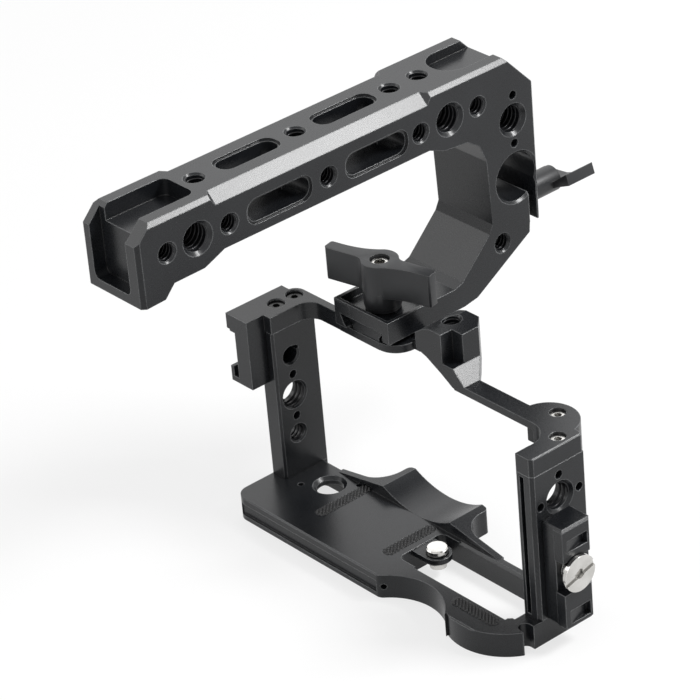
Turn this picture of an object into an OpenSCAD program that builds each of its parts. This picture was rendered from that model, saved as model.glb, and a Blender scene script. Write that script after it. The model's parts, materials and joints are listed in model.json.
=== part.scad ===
// Camera cage with a sliding top handle, seen as an assembly of separate pieces.
// The origin is the camera screw's axis where it leaves the base plate's top face.
// X runs along the base plate to right post, Y away from operator's lens side, Z up.

/* [Base plate] */
// Thickness of base plate
base_thickness = 7.6; // [6:0.1:10]
// Reach of base plate from camera screw to its left end
base_left = 67.1; // [64:0.1:72]
// Reach of base plate from camera screw to its right end
base_right = 46.9; // [45:0.1:50]
// Reach of base plate to its straight front edge
base_front = 19.5; // [18:0.1:22]
// Reach of base plate to its straight rear edge
base_back = 9.9; // [9:0.1:11]
// Radius of base plate's left corners
base_corner_radius = 4.5; // [1:0.1:6]
// Radius of finger scoop in front edge
scoop_radius = 17.6; // [15:0.1:20]
// Depth of finger scoop
scoop_depth = 6.7; // [5:0.1:8]
// Place of finger scoop to right of screw
scoop_x = 10.5; // [8:0.1:13]
// Radius of front bulge beside the right post
bulge_radius = 18.7; // [17:0.1:21]
// Reach of front bulge
bulge_reach = 20; // [19.8:0.1:22]
// Place of front bulge to right of screw
bulge_x = 31; // [29:0.1:33]
// Radius of small notch at the right front corner
corner_relief_radius = 1.9; // [1:0.1:3]
// Depth of small notch at the right front corner
corner_relief_depth = 3.4; // [3:0.1:4]
// Place of small relief along the right end, in front of screw
corner_relief_y = 8.9; // [7:0.1:11]
// Height of fine chamfers on the plates
edge_chamfer = 0.7; // [0.2:0.1:1]

/* [Weight opening and screw tab] */
// Left end of through opening, left of screw
opening_left = 6.1; // [5.5:0.1:8]
// Right end of through opening, right of screw
opening_right = 39.9; // [36:0.1:40]
// Front side of through opening
opening_front = 9.4; // [8:0.1:11]
// Rear side of through opening
opening_back = 7.4; // [6.5:0.1:7.8]
// Radius of through opening's corners
opening_radius = 2.2; // [1:0.1:2.4]
// Half width of tab that holds the camera screw
tab_half_width = 4.2; // [4:0.1:5]
// Thickness of tab
tab_thickness = 2; // [1.6:0.1:3]
// Drop of tab's top below plate's top
tab_drop = 0.3; // [0.2:0.05:0.5]

/* [Front groove] */
// Left end of groove in front face
front_groove_left = 64.6; // [60:0.1:66]
// Right end of groove in front face, left of screw
front_groove_right = 4.6; // [4:0.1:8]
// Height of groove in front face
front_groove_height = 3.9; // [3:0.1:4.5]
// Depth of groove in front face
front_groove_depth = 0.8; // [0.5:0.1:1.6]
// Distance from base plate's top face down to groove
front_groove_drop = 2.3; // [2:0.1:3]

/* [Grip pads] */
// Width of a rubber grip pad
pad_width = 3.7; // [3:0.1:4.5]
// Length of left grip pad
pad_left_length = 20; // [16:0.1:22]
// Length of middle grip pad
pad_middle_length = 18.9; // [16:0.1:20]
// Length of front grip pad
pad_front_length = 18; // [14:0.1:20]
// Height that the grip pads stand proud
pad_proud = 0.5; // [0.2:0.05:0.8]
// Depth of grip pads' pockets
pad_depth = 1; // [0.6:0.1:1.4]
// Place of left pad, left of screw
pad_left_x = 40; // [38:0.1:42]
// Place of left pad's centre in front of screw
pad_left_y = 0.6; // [0:0.1:1.5]
// Place of middle pad, left of screw
pad_middle_x = 10.3; // [9.9:0.1:11]
// Place of middle pad's centre in front of screw
pad_middle_y = 1.5; // [0.5:0.1:2]
// Place of front pad's centre, right of screw
pad_front_x = 29.9; // [29:0.1:31]
// Place of front pad in front of screw
pad_front_y = 12.9; // [12.3:0.1:13.5]

/* [Threads and locating holes] */
// Wall radius of a 3/8 inch threaded hole
hole_large_radius = 4.05; // [3.9:0.01:4.3]
// Wall radius of a 1/4 inch threaded hole
hole_small_radius = 2.6; // [2.5:0.01:2.8]
// Radius of larger locating pin holes
pin_hole_radius = 1.3; // [1:0.05:1.6]
// Depth of locating pin holes
pin_hole_depth = 2.6; // [1.5:0.1:3]
// Radius of chamfered mouth of a 3/8 inch hole
hole_large_mouth = 5.1; // [4.5:0.05:5.4]
// Height of roof above the pocket under the base plate's large hole
base_pocket_roof = 2.4; // [2:0.1:3.2]
// Left, right, front and rear sides of that pocket, from hole's axis
base_pocket_left = 11.1; // [10:0.1:11.3]
base_pocket_right = 5.6; // [5.4:0.1:7]
base_pocket_front = 5.8; // [5.4:0.1:8]
base_pocket_back = 6.5; // [5.6:0.1:6.7]
// Radius of chamfered mouth of a 1/4 inch hole
hole_small_mouth = 3.15; // [2.9:0.05:3.5]
// Place of base plate's large hole, left of screw
base_hole_x = 49.5; // [47:0.1:52]
// Place of base plate's large hole behind screw
base_hole_y = 2.4; // [1:0.1:4]
// Distance of fine locating dots from large hole, across
dot_offset_x = 6.6; // [5.5:0.1:8]
// Distance of fine locating dots from large hole, front to back
dot_offset_y = 5.6; // [4:0.1:6.2]
// Radius of fine locating dots
dot_radius = 0.9; // [0.6:0.05:1.2]

/* [Lens saddle] */
// Place of saddle's middle, left of screw
saddle_x = 18.5; // [17:0.1:20]
// Half length of saddle's arc at its ends
saddle_half_chord = 14.3; // [13:0.1:16]
// Radius of saddle's arc
saddle_radius = 29.7; // [26:0.1:34]
// Height of saddle's ends above the base plate
saddle_height = 3.7; // [2.5:0.1:4.5]
// Front side of saddle behind screw
saddle_front = 8.7; // [8.5:0.1:9.2]
// Rear side of saddle block behind screw
saddle_back = 21.5; // [19:0.1:23]
// Half length of saddle block
saddle_block_half = 16.9; // [16:0.1:18.5]
// Half length of saddle with its sloping shoulders
shoulder_half = 34.6; // [30:0.1:36]
// Width of sloping shoulders
shoulder_width = 2; // [1.2:0.1:3]
// Depth of saddle block below base plate's top face
saddle_block_depth = 4.6; // [3:0.1:6]
// Radius of hollow corners between the saddle block and its shoulders
saddle_fillet = 7.5; // [5:0.1:9]

/* [Left post] */
// Thickness of left post
left_post_thickness = 5.9; // [5:0.1:7]
// Front side of left post, in front of screw
left_post_front = 4.5; // [3:0.1:6]
// Rear side of left post behind screw
left_post_back = 11.5; // [10:0.1:12.5]
// Height of left post's top seam
left_post_height = 49.3; // [48:0.1:51]
// Outward step of left post's head
left_head_step = 1.4; // [1:0.1:1.8]
// Height where the left post's head starts
left_head_start = 34.6; // [33:0.1:38]
// Place of left post's holes behind screw
left_holes_y = 1.8; // [1:0.1:3]
// Height of upper small hole
left_small_upper = 39.7; // [39.2:0.1:40.8]
// Height of large hole
left_large_hole = 26.4; // [25.5:0.1:27]
// Height of lower small hole
left_small_lower = 13.3; // [12:0.1:14]
// Distance of locating pin holes from large hole
left_pin_offset = 7; // [6.8:0.1:7.4]
// Radius of keying notch beside the upper small hole
key_notch_radius = 1.2; // [1:0.1:1.8]
// Sideways and upward offset of keying notch
key_notch_offset = 1.6; // [1.4:0.1:2.4]

/* [Right post] */
// Thickness of right post
right_post_thickness = 6; // [5.6:0.1:6.6]
// Front side of right post, in front of screw
right_post_front = 4.5; // [3.5:0.1:5]
// Rear side of right post behind screw
right_post_back = 14.8; // [13:0.1:16]
// Drop of right post's top seam below left post's
right_post_drop = 2.7; // [1.3:0.1:3.3]
// Drop of right post's large hole below post's top seam
right_hole_drop = 10.4; // [9.6:0.1:11]
// Place of right post's large hole behind screw
right_hole_y = 5.4; // [5:0.1:6]
// Distance of locating pin holes from right post's large hole
right_pin_offset = 7.2; // [7:0.1:7.6]
// Width of relief groove in right post's front side
post_groove_width = 1.6; // [1:0.1:2]
// Depth of relief groove
post_groove_depth = 3; // [1.5:0.1:4]
// Distance of relief groove from post's outer face
post_groove_inset = 3.3; // [3:0.1:4]
// Height of relief groove's lower end
post_groove_low = 1.2; // [0.5:0.1:4]
// Drop of relief groove's upper end below that seam
post_groove_drop = 1; // [0.6:0.1:2.6]
// Chamfer of right post's outer front edge
post_chamfer = 1; // [0.5:0.1:1.4]
// Thickness of right post's flange under the ear
post_flange = 5; // [3:0.1:7]

/* [Top plate, left side] */
// Rise of top plate's upper face over left post
plate_rise = 5.5; // [4.9:0.1:6.2]
// Front side of arm behind screw
arm_front = 10.6; // [10.3:0.1:11.1]
// Width of arm
arm_width = 2.3; // [1.8:0.1:3]
// Radius of hollow corner between the arm and the left post
arm_fillet = 4.8; // [3:0.1:6]
// Rounding of base plate's corner at the scoop
scoop_corner = 3; // [1:0.1:4]
// Left end of lowered seat, left of screw
seat_left = 48.2; // [47.9:0.1:49]
// Right end of seat, left of screw
seat_right = 24.2; // [23:0.1:24.8]
// Rise of seat that the rail stands on over left post
seat_rise = 2.5; // [2.3:0.1:2.7]
// Rear side of seat and of hump
plate_back = 23.5; // [23.2:0.1:25]
// Radius of seat's right front corner
seat_corner_radius = 7; // [4:0.1:8]

/* [Cold shoe] */
// Length of shoe's channel
shoe_length = 21.2; // [19:0.1:22]
// Height of shoe, from top plate's upper face down
shoe_height = 22.4; // [21.8:0.1:23.3]
// Reach of shoe's lips to left of screw
shoe_reach = 73.5; // [73:0.1:75]
// Thickness of shoe's lips
shoe_lip = 1.2; // [0.9:0.1:1.4]
// Depth of shoe's channel under its lips
shoe_gap = 2.2; // [2:0.1:2.4]
// Thickness of shoe's side walls
shoe_wall = 1.8; // [1.4:0.1:2]
// Width of opening between the shoe's lips
shoe_opening = 12.6; // [12.4:0.1:13.2]
// Inner face of shoe block, left of screw
shoe_inner = 64.2; // [63.6:0.1:65]
// Offset of shoe's middle in front of screw
shoe_offset = 0.4; // [0:0.1:0.8]

/* [Hump over the viewfinder] */
// Rise of hump's top over top plate
hump_rise = 11; // [9.7:0.1:12.2]
// Left side of hump, left of screw
hump_left = 13.6; // [12:0.1:14]
// Right side of hump, right of screw
hump_right = 1.5; // [0.8:0.1:2]
// Front side of hump behind screw
hump_front = 9.3; // [8.8:0.1:10]
// Rise of hump's lower left edge over left post
hump_low_rise = 8.4; // [7.7:0.1:9.2]
// Size of chamfer at the hump's right rear corner
hump_chamfer = 3.8; // [3:0.1:5]
// Width of slope along the hump's upper left edge
hump_shoulder = 6; // [2:0.1:7]
// Drop of slope along the hump's upper left edge
hump_shoulder_drop = 3.1; // [1:0.1:4]
// Width of niche in hump's right front corner
niche_width = 4.3; // [3.5:0.1:5]
// Rise of niche's floor over left post
niche_rise = 7.3; // [6.5:0.1:8.1]
// Drop of slope from niche down to bar
slope_drop = 4.3; // [4:0.1:4.6]
// Place of hump's threaded hole, left of screw
hump_hole_x = 7.2; // [6.8:0.1:7.6]
// Place of hump's threaded hole behind screw
hump_hole_y = 17.4; // [16.8:0.1:18]
// Front side of link behind the gap, behind screw
link_front = 17.6; // [16.5:0.1:18.5]
// Rise of link's top over left post
link_rise = 10.7; // [8.7:0.1:11.7]

/* [Bar and ear] */
// Rear side of thin bar behind screw
bar_back = 15.1; // [14.2:0.1:16]
// Rise of bar's top and of ear's top over left post
bar_rise = 3; // [2.5:0.1:3.3]
// Thickness of thin bar
bar_thickness = 2.4; // [2:0.1:2.6]
// Radius of ear's round relief
ear_relief_radius = 7.7; // [7:0.1:8.2]
// Place of ear's round relief, right of screw
ear_relief_x = 33.3; // [32.5:0.1:34]
// Place of ear's round relief behind screw
ear_relief_y = 1.6; // [1.2:0.1:2]
// Radius of ear's round rear lobe
ear_lobe_radius = 9.2; // [8.6:0.1:9.8]
// Place of rear lobe, right of screw
ear_lobe_x = 35; // [34.4:0.1:35.6]
// Place of rear lobe behind screw
ear_lobe_y = 13; // [12.6:0.1:13.4]

/* [Screws] */
// Shank radius of top plate's screws
top_screw_radius = 1.2; // [1:0.05:1.3]
// Head radius of right top screws
right_head_radius = 2.3; // [2:0.05:2.5]
// Head radius of left top screws
left_head_radius = 2.4; // [2:0.05:2.5]
// Head height of top plate's screws
top_head_height = 1.6; // [1.2:0.1:2]
// Depth of top plate's screws below surface
top_head_sink = 0.8; // [0.4:0.1:1]
// Length of top plate's screws under their heads
top_screw_length = 8; // [7:0.1:9]
// Width across the corners of small hex sockets
small_hex = 2.3; // [1.8:0.1:2.4]
// Places of left top screws, left of screw
left_screw_x = 66.7; // [66.4:0.1:67]
// Place of front left top screw behind screw
left_screw_y1 = 2.4; // [1.6:0.1:3]
// Place of rear left top screw behind screw
left_screw_y2 = 9.3; // [8.6:0.1:9.6]
// Place of first right top screw, right of screw
right_screw_x1 = 34.3; // [34:0.1:34.8]
// Place of first right top screw behind screw
right_screw_y1 = 17.7; // [17.3:0.1:18.2]
// Place of second right top screw, right of screw
right_screw_x2 = 43.2; // [43:0.1:43.4]
// Place of second right top screw behind screw
right_screw_y2 = 9.2; // [8.6:0.1:9.6]
// Shank radius of posts' screws in base plate
base_screw_radius = 1.4; // [1.2:0.05:1.5]
// Head radius of posts' screws in base plate
base_head_radius = 2.4; // [2.2:0.05:2.6]
// Head height of posts' screws in base plate
base_head_height = 2.4; // [2:0.1:2.8]
// Length of posts' screws above the base plate
base_screw_reach = 8; // [6:0.1:9]

/* [Camera screw] */
// Thread radius of camera screw
camera_thread_radius = 3.175; // [3.1:0.005:3.2]
// Radius of camera screw's neck
camera_neck_radius = 2.5; // [2.2:0.05:2.7]
// Radius of ring that holds the camera screw in tab
clip_radius = 3.6; // [3.4:0.1:4]
// Thickness of ring that holds the camera screw
clip_thickness = 0.5; // [0.4:0.05:0.6]
// Height that the camera screw stands above the tab
camera_screw_rise = 1.7; // [1.5:0.1:2.5]
// Chamfer at the camera screw's tip
camera_tip_chamfer = 0.35; // [0.2:0.05:0.5]
// Length of camera screw's thread
camera_thread_length = 1.8; // [1.75:0.05:1.9]
// Depth of camera screw's lower end below top face
camera_screw_depth = 4.7; // [4:0.1:6]
// Depth of camera screw's hex socket from below
camera_hex_depth = 3; // [2:0.1:3.5]
// Width across the corners of camera screw's hex socket
camera_hex = 3.4; // [2.8:0.1:3.6]

/* [Cable clamp] */
// Width of cable clamp
clamp_width = 10.7; // [10:0.1:11.4]
// Front side of cable clamp, in front of screw
clamp_front = 2.1; // [1.6:0.1:2.6]
// Height of cable clamp's lower end
clamp_low = 0.2; // [0.1:0.1:1]
// Height of cable clamp's upper end
clamp_high = 32; // [31:0.1:32.05]
// Thickness of cable clamp's back
clamp_back_thickness = 4.7; // [4:0.1:5.2]
// Thickness of cable clamp with its blocks
clamp_thickness = 8.1; // [7.8:0.1:8.4]
// Height of upper block's lower side
clamp_upper_block = 21.6; // [20.5:0.1:22.5]
// Height of lower block's upper side
clamp_lower_block = 11.1; // [10:0.1:11.6]
// Inset of back's front side behind the blocks
clamp_inset = 0.4; // [0.2:0.1:0.8]
// Reach of cutter in front of cable pockets
cable_pocket_depth = 1.1; // [0.6:0.1:1.6]
// Height of upper cable pocket
cable_pocket_upper = 3.6; // [3:0.1:5]
// Height of lower cable pocket
cable_pocket_lower = 4.2; // [3:0.1:6]
// Height of upper cable pocket's floor
cable_floor_upper = 24.5; // [23.5:0.1:26]
// Height of lower cable pocket's floor
cable_floor_lower = 1.2; // [1:0.1:3]
// Width of cable pockets
cable_pocket_width = 7.6; // [6:0.1:8.4]
// Tilt of cable pockets' floors
cable_pocket_tilt = 12; // [6:1:18]
// Travel of cable clamp down from rest
clamp_travel_down = 1.5; // [1:0.1:1.6]
// Travel of cable clamp up from rest
clamp_travel_up = 1; // [0.5:0.1:1.5]

/* [Thumb screw] */
// Radius of thumb screw's disc
thumb_radius = 5.5; // [5:0.1:6]
// Thickness of thumb screw's disc
thumb_thickness = 1.2; // [1:0.1:1.8]
// Radius of thumb screw's collar
thumb_collar_radius = 3; // [2.6:0.1:3.1]
// Length of thumb screw's collar
thumb_collar_length = 3; // [3:0.1:3.6]
// Radius of thumb screw's shank
thumb_shank_radius = 2; // [1.8:0.05:2.2]
// Length of thumb screw's shank in post
thumb_shank_length = 5; // [4:0.1:5.5]
// Height of thumb screw
thumb_height = 16.9; // [16.4:0.1:17]
// Place of thumb screw behind screw
thumb_y = 2.7; // [2.3:0.1:3.3]
// Width of thumb screw's coin slot
thumb_slot_width = 2; // [1.4:0.1:2.4]
// Depth of thumb screw's coin slot
thumb_slot_depth = 0.6; // [0.4:0.1:1]
// Angle of thumb screw's coin slot at rest
thumb_slot_angle = 15; // [0:1:30]
// Width across the corners of thumb screw's hex socket
thumb_hex = 3.4; // [2.8:0.1:3.8]
// Thickness of thumb screw's washer
thumb_washer_thickness = 0.5; // [0.4:0.05:0.6]

/* [Rail] */
// Place of knob axis and handle middle, left of screw
handle_x = 35.85; // [35.6:0.05:36.1]
// Widest left side of rail, left of screw
rail_left = 43.8; // [43.6:0.1:43.9]
// Widest right side of rail, left of screw
rail_right = 30.1; // [30:0.1:30.3]
// Front end of rail behind screw
rail_front = 10.7; // [10.3:0.1:11]
// Height of rail over its seat
rail_rise = 3.85; // [3.7:0.05:3.9]
// Drop of rail's widest band below its top
rail_band_drop = 1.25; // [1.15:0.05:1.35]
// Thickness of rail's widest band
rail_band_thickness = 0.3; // [0.2:0.05:0.4]
// Size of rail's upper bevels, sideways
rail_bevel = 1.4; // [1.2:0.1:1.6]
// Size of rail's lower undercut
rail_undercut = 1.3; // [1.2:0.05:1.4]
// Half width of groove for the stud's flange
rail_groove_half = 3.6; // [3.5:0.05:3.7]
// Depth of groove for the stud's flange
rail_groove_drop = 1.25; // [1.2:0.05:1.3]
// Length of groove in rail
rail_groove_length = 10.9; // [10.7:0.1:11.1]
// Offset of groove's middle behind the knob axis
rail_groove_offset = 0.2; // [0.1:0.05:0.3]
// Distance between the rail's two screws
rail_screw_spacing = 7.2; // [6.8:0.1:7.6]
// Shank radius of rail's screws
rail_screw_radius = 1; // [0.9:0.05:1.1]
// Head radius of rail's screws
rail_head_radius = 1.9; // [1.7:0.05:2]

/* [Handle outline] */
// Width of handle
handle_width = 23; // [22.4:0.1:23.4]
// Reach of handle's front face in front of screw
handle_front = 73.5; // [70:0.1:76]
// Reach of handle's rear face behind screw
handle_back = 69; // [68.8:0.1:69.3]
// Height of handle over its foot's underside
handle_rise = 70.7; // [69.5:0.1:72]
// Height of foot and the arm's start, which stay when the handle gets taller
foot_part = 17.675; // [17.6:0.005:17.7]
// Share of handle's rise that this part takes
foot_share = 0.25; // [0.24:0.01:0.26]
// Height of handle's foot over rail's seat
foot_gap = 2.7; // [2.6:0.05:2.8]
// Size of wide chamfers along the grip's top
grip_chamfer = 3.2; // [2.5:0.1:3.6]
// Size of handle's fine chamfers
handle_chamfer = 1.2; // [0.4:0.1:1.4]
// Length of wide chamfers in front of screw
grip_chamfer_front = 46.5; // [44:0.1:48]
// Length of wide chamfers behind screw
grip_chamfer_back = 29; // [26:0.1:31]

/* [Handle foot] */
// Front face of handle's foot behind screw
foot_front = 8.4; // [8.2:0.1:8.9]
// Height of rim around the foot's top pocket over foot's
foot_rim_rise = 6.4; // [6.1:0.1:7]
// Height of foot's pocket floor over its underside
foot_floor_rise = 4.5; // [4.4:0.1:4.6]
// Width of rim around the foot's top pocket
foot_rim_width = 1.1; // [0.8:0.1:2]
// Height of foot cavity's ceiling over foot's
cavity_rise = 2.6; // [2.55:0.01:2.7]
// Thickness of foot's left wall at the ceiling
foot_left_wall = 2.2; // [2:0.1:2.4]
// Thickness of foot's right leg
foot_right_leg = 2.75; // [2.7:0.05:2.8]
// Drop of hook's underside below foot's
hook_drop = 1.5; // [1.4:0.1:1.7]
// Reach of hook's toe in from foot's left side
hook_reach = 4.45; // [4.4:0.05:4.6]

/* [Handle holes] */
// Drop of row of side holes below handle's top
side_row_drop = 10.5; // [10:0.1:10.8]
// Width of slots in handle
slot_width = 6.6; // [6.4:0.1:7]
// Widening of slots' mouths
slot_mouth = 0.6; // [0.3:0.1:0.9]
// Radius of rod hole
rod_radius = 7.5; // [7.4:0.01:7.52]
// Place of rod hole behind screw
rod_y = 60.4; // [60.2:0.1:60.6]
// Height of rod hole, share of handle's rise
rod_share = 0.46110; // [0.454:0.001:0.468]
// Front side of slit beside the clamping leaf
slit_front = 64.4; // [64:0.1:64.8]
// Thickness of clamping leaf
leaf_thickness = 1.7; // [1.5:0.1:1.9]
// Height of leaf's lower end, share of handle's rise
leaf_share = 0.22207; // [0.214:0.001:0.233]
// Width of pocket in handle's front face
front_pocket_width = 15.5; // [14:0.1:16]
// Offset of front pocket's middle to left of handle's middle
front_pocket_offset = 1.2; // [0:0.1:1.6]
// Radius of front pocket's lower corners
front_pocket_radius = 2; // [1:0.1:3]
// Width of pocket in handle's front top
top_pocket_width = 13.5; // [12.5:0.1:14.5]
// Length of pocket in handle's front top
top_pocket_length = 24.3; // [22:0.1:25]
// Depth of top pocket
top_pocket_depth = 5; // [4.2:0.1:6.2]
// Drop of front pocket's lower end below handle's top
front_pocket_drop = 21.3; // [20.6:0.1:22.2]
// Depth of front pocket
front_pocket_depth = 4.1; // [3:0.1:5]
// Width of shallow pocket in handle's rear top
rear_pocket_width = 13.6; // [12.6:0.1:14.4]
// Front end of shallow rear pocket behind screw
rear_pocket_front = 41.4; // [40.6:0.1:42]
// Depth of shallow rear pocket
rear_pocket_depth = 3; // [2:0.1:4]

/* [Knob and clamping jaw] */
// Place of knob behind screw
knob_y = 17; // [16.8:0.1:17.2]
// Radius of knob's body
knob_radius = 5.5; // [5.2:0.1:5.8]
// Height of knob
knob_height = 15.15; // [14.5:0.05:16]
// Gap for the washer between the knob and the foot's pocket floor
knob_gap = 0.5; // [0.45:0.01:0.6]
// Radius of knob's collar under its body
knob_flange_radius = 5.2; // [5:0.1:5.4]
// Height of knob's collar
knob_flange = 1.2; // [0.8:0.1:2]
// Radius of washer under the knob
knob_washer_radius = 4.9; // [4.4:0.1:5.2]
// Half length of knob's wings
wing_half = 18.3; // [17:0.1:18.6]
// Thickness of knob's wings
wing_thickness = 4.1; // [3.6:0.1:5]
// Height of wings' underside over knob's
wing_rise = 5.1; // [4.9:0.1:5.5]
// Angle of wings at rest
wing_angle = 13; // [10:1:18]
// Radius of recess in knob's top
knob_recess_radius = 2.9; // [2.8:0.05:3.1]
// Depth of recess in knob's top
knob_recess_depth = 1.9; // [1.6:0.1:2.2]
// Radius of clamping stud
stud_radius = 2.5; // [2.45:0.01:2.55]
// Radius of clamping stud's flange
stud_flange_radius = 3.4; // [3.3:0.05:3.5]
// Thickness of clamping stud's flange
stud_flange = 1.1; // [1:0.05:1.15]
// Thickness of jaw's plate
jaw_plate = 1; // [0.9:0.05:1.05]
// Gap between the rail's top and the jaw's plate
jaw_gap = 0.1; // [0.08:0.01:0.12]
// Length of jaw
jaw_length = 11.4; // [10:0.1:12]
// Height of jaw's lower end above the seat
jaw_clearance = 0.3; // [0.2:0.05:0.4]

/* [Rod lever] */
// Height of rod lever's axis, share of handle's rise
lever_share = 0.26733; // [0.262:0.001:0.290]
// Radius of rod lever's hub
lever_hub_radius = 3.9; // [3.6:0.1:4.4]
// Radius of washer under the rod lever
lever_washer_radius = 5; // [4.4:0.1:5.6]
// Length of rod lever's hub from handle to its wing
lever_hub_length = 11.4; // [10:0.1:12.5]
// Half span of rod lever's wing
lever_half_span = 10.8; // [9:0.1:11.5]
// Length of rod lever's wing away from handle
lever_wing_length = 10.4; // [9.5:0.1:11.5]
// Thickness of rod lever's wing
lever_wing_thickness = 3.5; // [3:0.1:4.5]
// Angle of rod lever's wing at rest
lever_angle = 22; // [0:1:30]
// Thickness of rod lever's washer
lever_washer_thickness = 0.6; // [0.5:0.05:0.8]
// Radius of rod lever's stud
lever_stud_radius = 2.5; // [2.3:0.05:2.6]
// Length of rod lever's stud in handle
lever_stud_depth = 9; // [7:0.1:10]

/* [Fits] */
// Radial gap of a pin or screw that turns in its hole
turn_gap = 0.05; // [0.02:0.01:0.09]
// Gap between pieces that slide past each other
slide_gap = 0.1; // [0.05:0.01:0.15]

/* [Hidden] */
$fn = 48;

// Heights over the base plate's top face
right_post_height = left_post_height - right_post_drop;
post_groove_high = right_post_height - post_groove_drop;
right_large_hole = right_post_height - right_hole_drop;
plate_top = left_post_height + plate_rise;
seat_top = left_post_height + seat_rise;
shoe_low = plate_top - shoe_height;
hump_top = plate_top + hump_rise;
hump_low = left_post_height + hump_low_rise;
niche_floor = left_post_height + niche_rise;
link_top = left_post_height + link_rise;
bar_top = left_post_height + bar_rise;
rail_top = seat_top + rail_rise;
rail_band = rail_top - rail_band_drop;
rail_groove_floor = rail_top - rail_groove_drop;
foot_low = seat_top + foot_gap;
handle_top = foot_low + handle_rise;
foot_rim = foot_low + foot_rim_rise;
foot_floor = foot_low + foot_floor_rise;
cavity_top = foot_low + cavity_rise;
hook_low = foot_low - hook_drop;
side_row_height = handle_top - side_row_drop;
top_pocket_floor = handle_top - top_pocket_depth;
front_pocket_low = handle_top - front_pocket_drop;
knob_low = foot_floor + knob_gap;
knob_top = knob_low + knob_height;
wing_low = knob_low + wing_rise;
rod_height = handle_height(rod_share);
leaf_low = handle_height(leaf_share);
lever_height = handle_height(lever_share);

// The rounded corner's centre in front of the scoop, and its share of the way to the scoop's
corner_run = sqrt(pow(scoop_radius + scoop_corner, 2) - pow(scoop_radius - scoop_depth + scoop_corner, 2));
corner_share = scoop_corner / (scoop_radius + scoop_corner);

// A cut runs past the surface that it leaves by this much
overrun = base_thickness / 8;
// Thin cuts run past their surface by this much
fine_overrun = base_thickness / 80;
// Shades of the pieces in the plain view
black = [0.1, 0.1, 0.11];
rubber = [0.05, 0.05, 0.05];
silver = [0.8, 0.8, 0.82];

saddle_centre_z = saddle_height + sqrt(pow(saddle_radius, 2) - pow(saddle_half_chord, 2));
bulge_y = bulge_reach - bulge_radius;
left_face = base_left - left_post_thickness;
right_inner = base_right - right_post_thickness;
shoe_floor = shoe_reach - shoe_lip - shoe_gap;
shoe_middle = (plate_top + shoe_low) / 2;
slope_run = slope_drop;
clamp_middle_y = clamp_width / 2 - clamp_front;
handle_left = handle_x + handle_width / 2;
handle_right = handle_x - handle_width / 2;
handle_length = handle_front + handle_back;
stud_low = rail_top + jaw_gap - stud_flange;
jaw_low_face = rail_top + jaw_gap;
jaw_right = handle_right + foot_right_leg + turn_gap;
rail_middle_y = knob_y + rail_groove_offset;
leaf_front = handle_back - leaf_thickness;
collar_start = base_right + clamp_back_thickness + slide_gap;

// Outline of the handle's side: shares of its length from the front face and of its rise
handle_outline_shares = [[0, 0.66], [0.053, 0.665], [0.077, 0.716], [0.15, 0.718], [0.175, 0.738],
  [0.2, 0.759], [0.717, 0.759], [0.757, 0.727], [0.816, 0.716], [0.846, 0.675], [0.862, 0.594],
  [0.867, 0.304], [0.857, 0.265], [0.778, 0.112], [0.756, 0.098], [0.575, 0.098], [0.575, 0],
  [0.779, 0], [0.815, 0.012], [0.965, 0.19], [0.967, 0.233], [1, 0.233], [1, 0.836],
  [0.925, 1], [0.0365, 1], [0, 0.924]];

// Rounded rectangle from its corners
module rounded_box_2d(low, high, r) {
  translate([low[0] + r, low[1]]) square([high[0] - low[0] - 2 * r, high[1] - low[1]]);
  translate([low[0], low[1] + r]) square([high[0] - low[0], high[1] - low[1] - 2 * r]);
  for (x = [low[0] + r, high[0] - r], y = [low[1] + r, high[1] - r])
    translate([x, y]) circle(r);
}

// Cutter for a chamfer along X: centre of the edge, length and size
module chamfer_x(at, length, size) {
  translate(at) rotate([45, 0, 0]) cube([length, size * sqrt(2), size * sqrt(2)], center = true);
}

module chamfer_y(at, length, size) {
  translate(at) rotate([0, 45, 0]) cube([size * sqrt(2), length, size * sqrt(2)], center = true);
}

module chamfer_z(at, length, size) {
  translate(at) rotate([0, 0, 45]) cube([size * sqrt(2), size * sqrt(2), length], center = true);
}

// Bore along Z with a chamfered upper mouth, its top at height zero
module mouthed_hole(r, mouth, depth) {
  rotate_extrude() polygon([[0, -depth], [r, -depth], [r, r - mouth], [mouth, 0],
    [mouth, fine_overrun], [0, fine_overrun]]);
}

// Cap screw along Z: its head's top at height zero, the shank runs down
module cap_screw(head_r, head_h, shank_r, shank_l, hex) {
  difference() {
    union() {
      translate([0, 0, -head_h]) cylinder(h = head_h, r = head_r);
      translate([0, 0, -head_h - shank_l]) cylinder(h = shank_l + fine_overrun, r = shank_r);
    }
    translate([0, 0, -head_h * 0.6]) cylinder(h = head_h, r = hex / 2, $fn = 6);
  }
}

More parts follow.
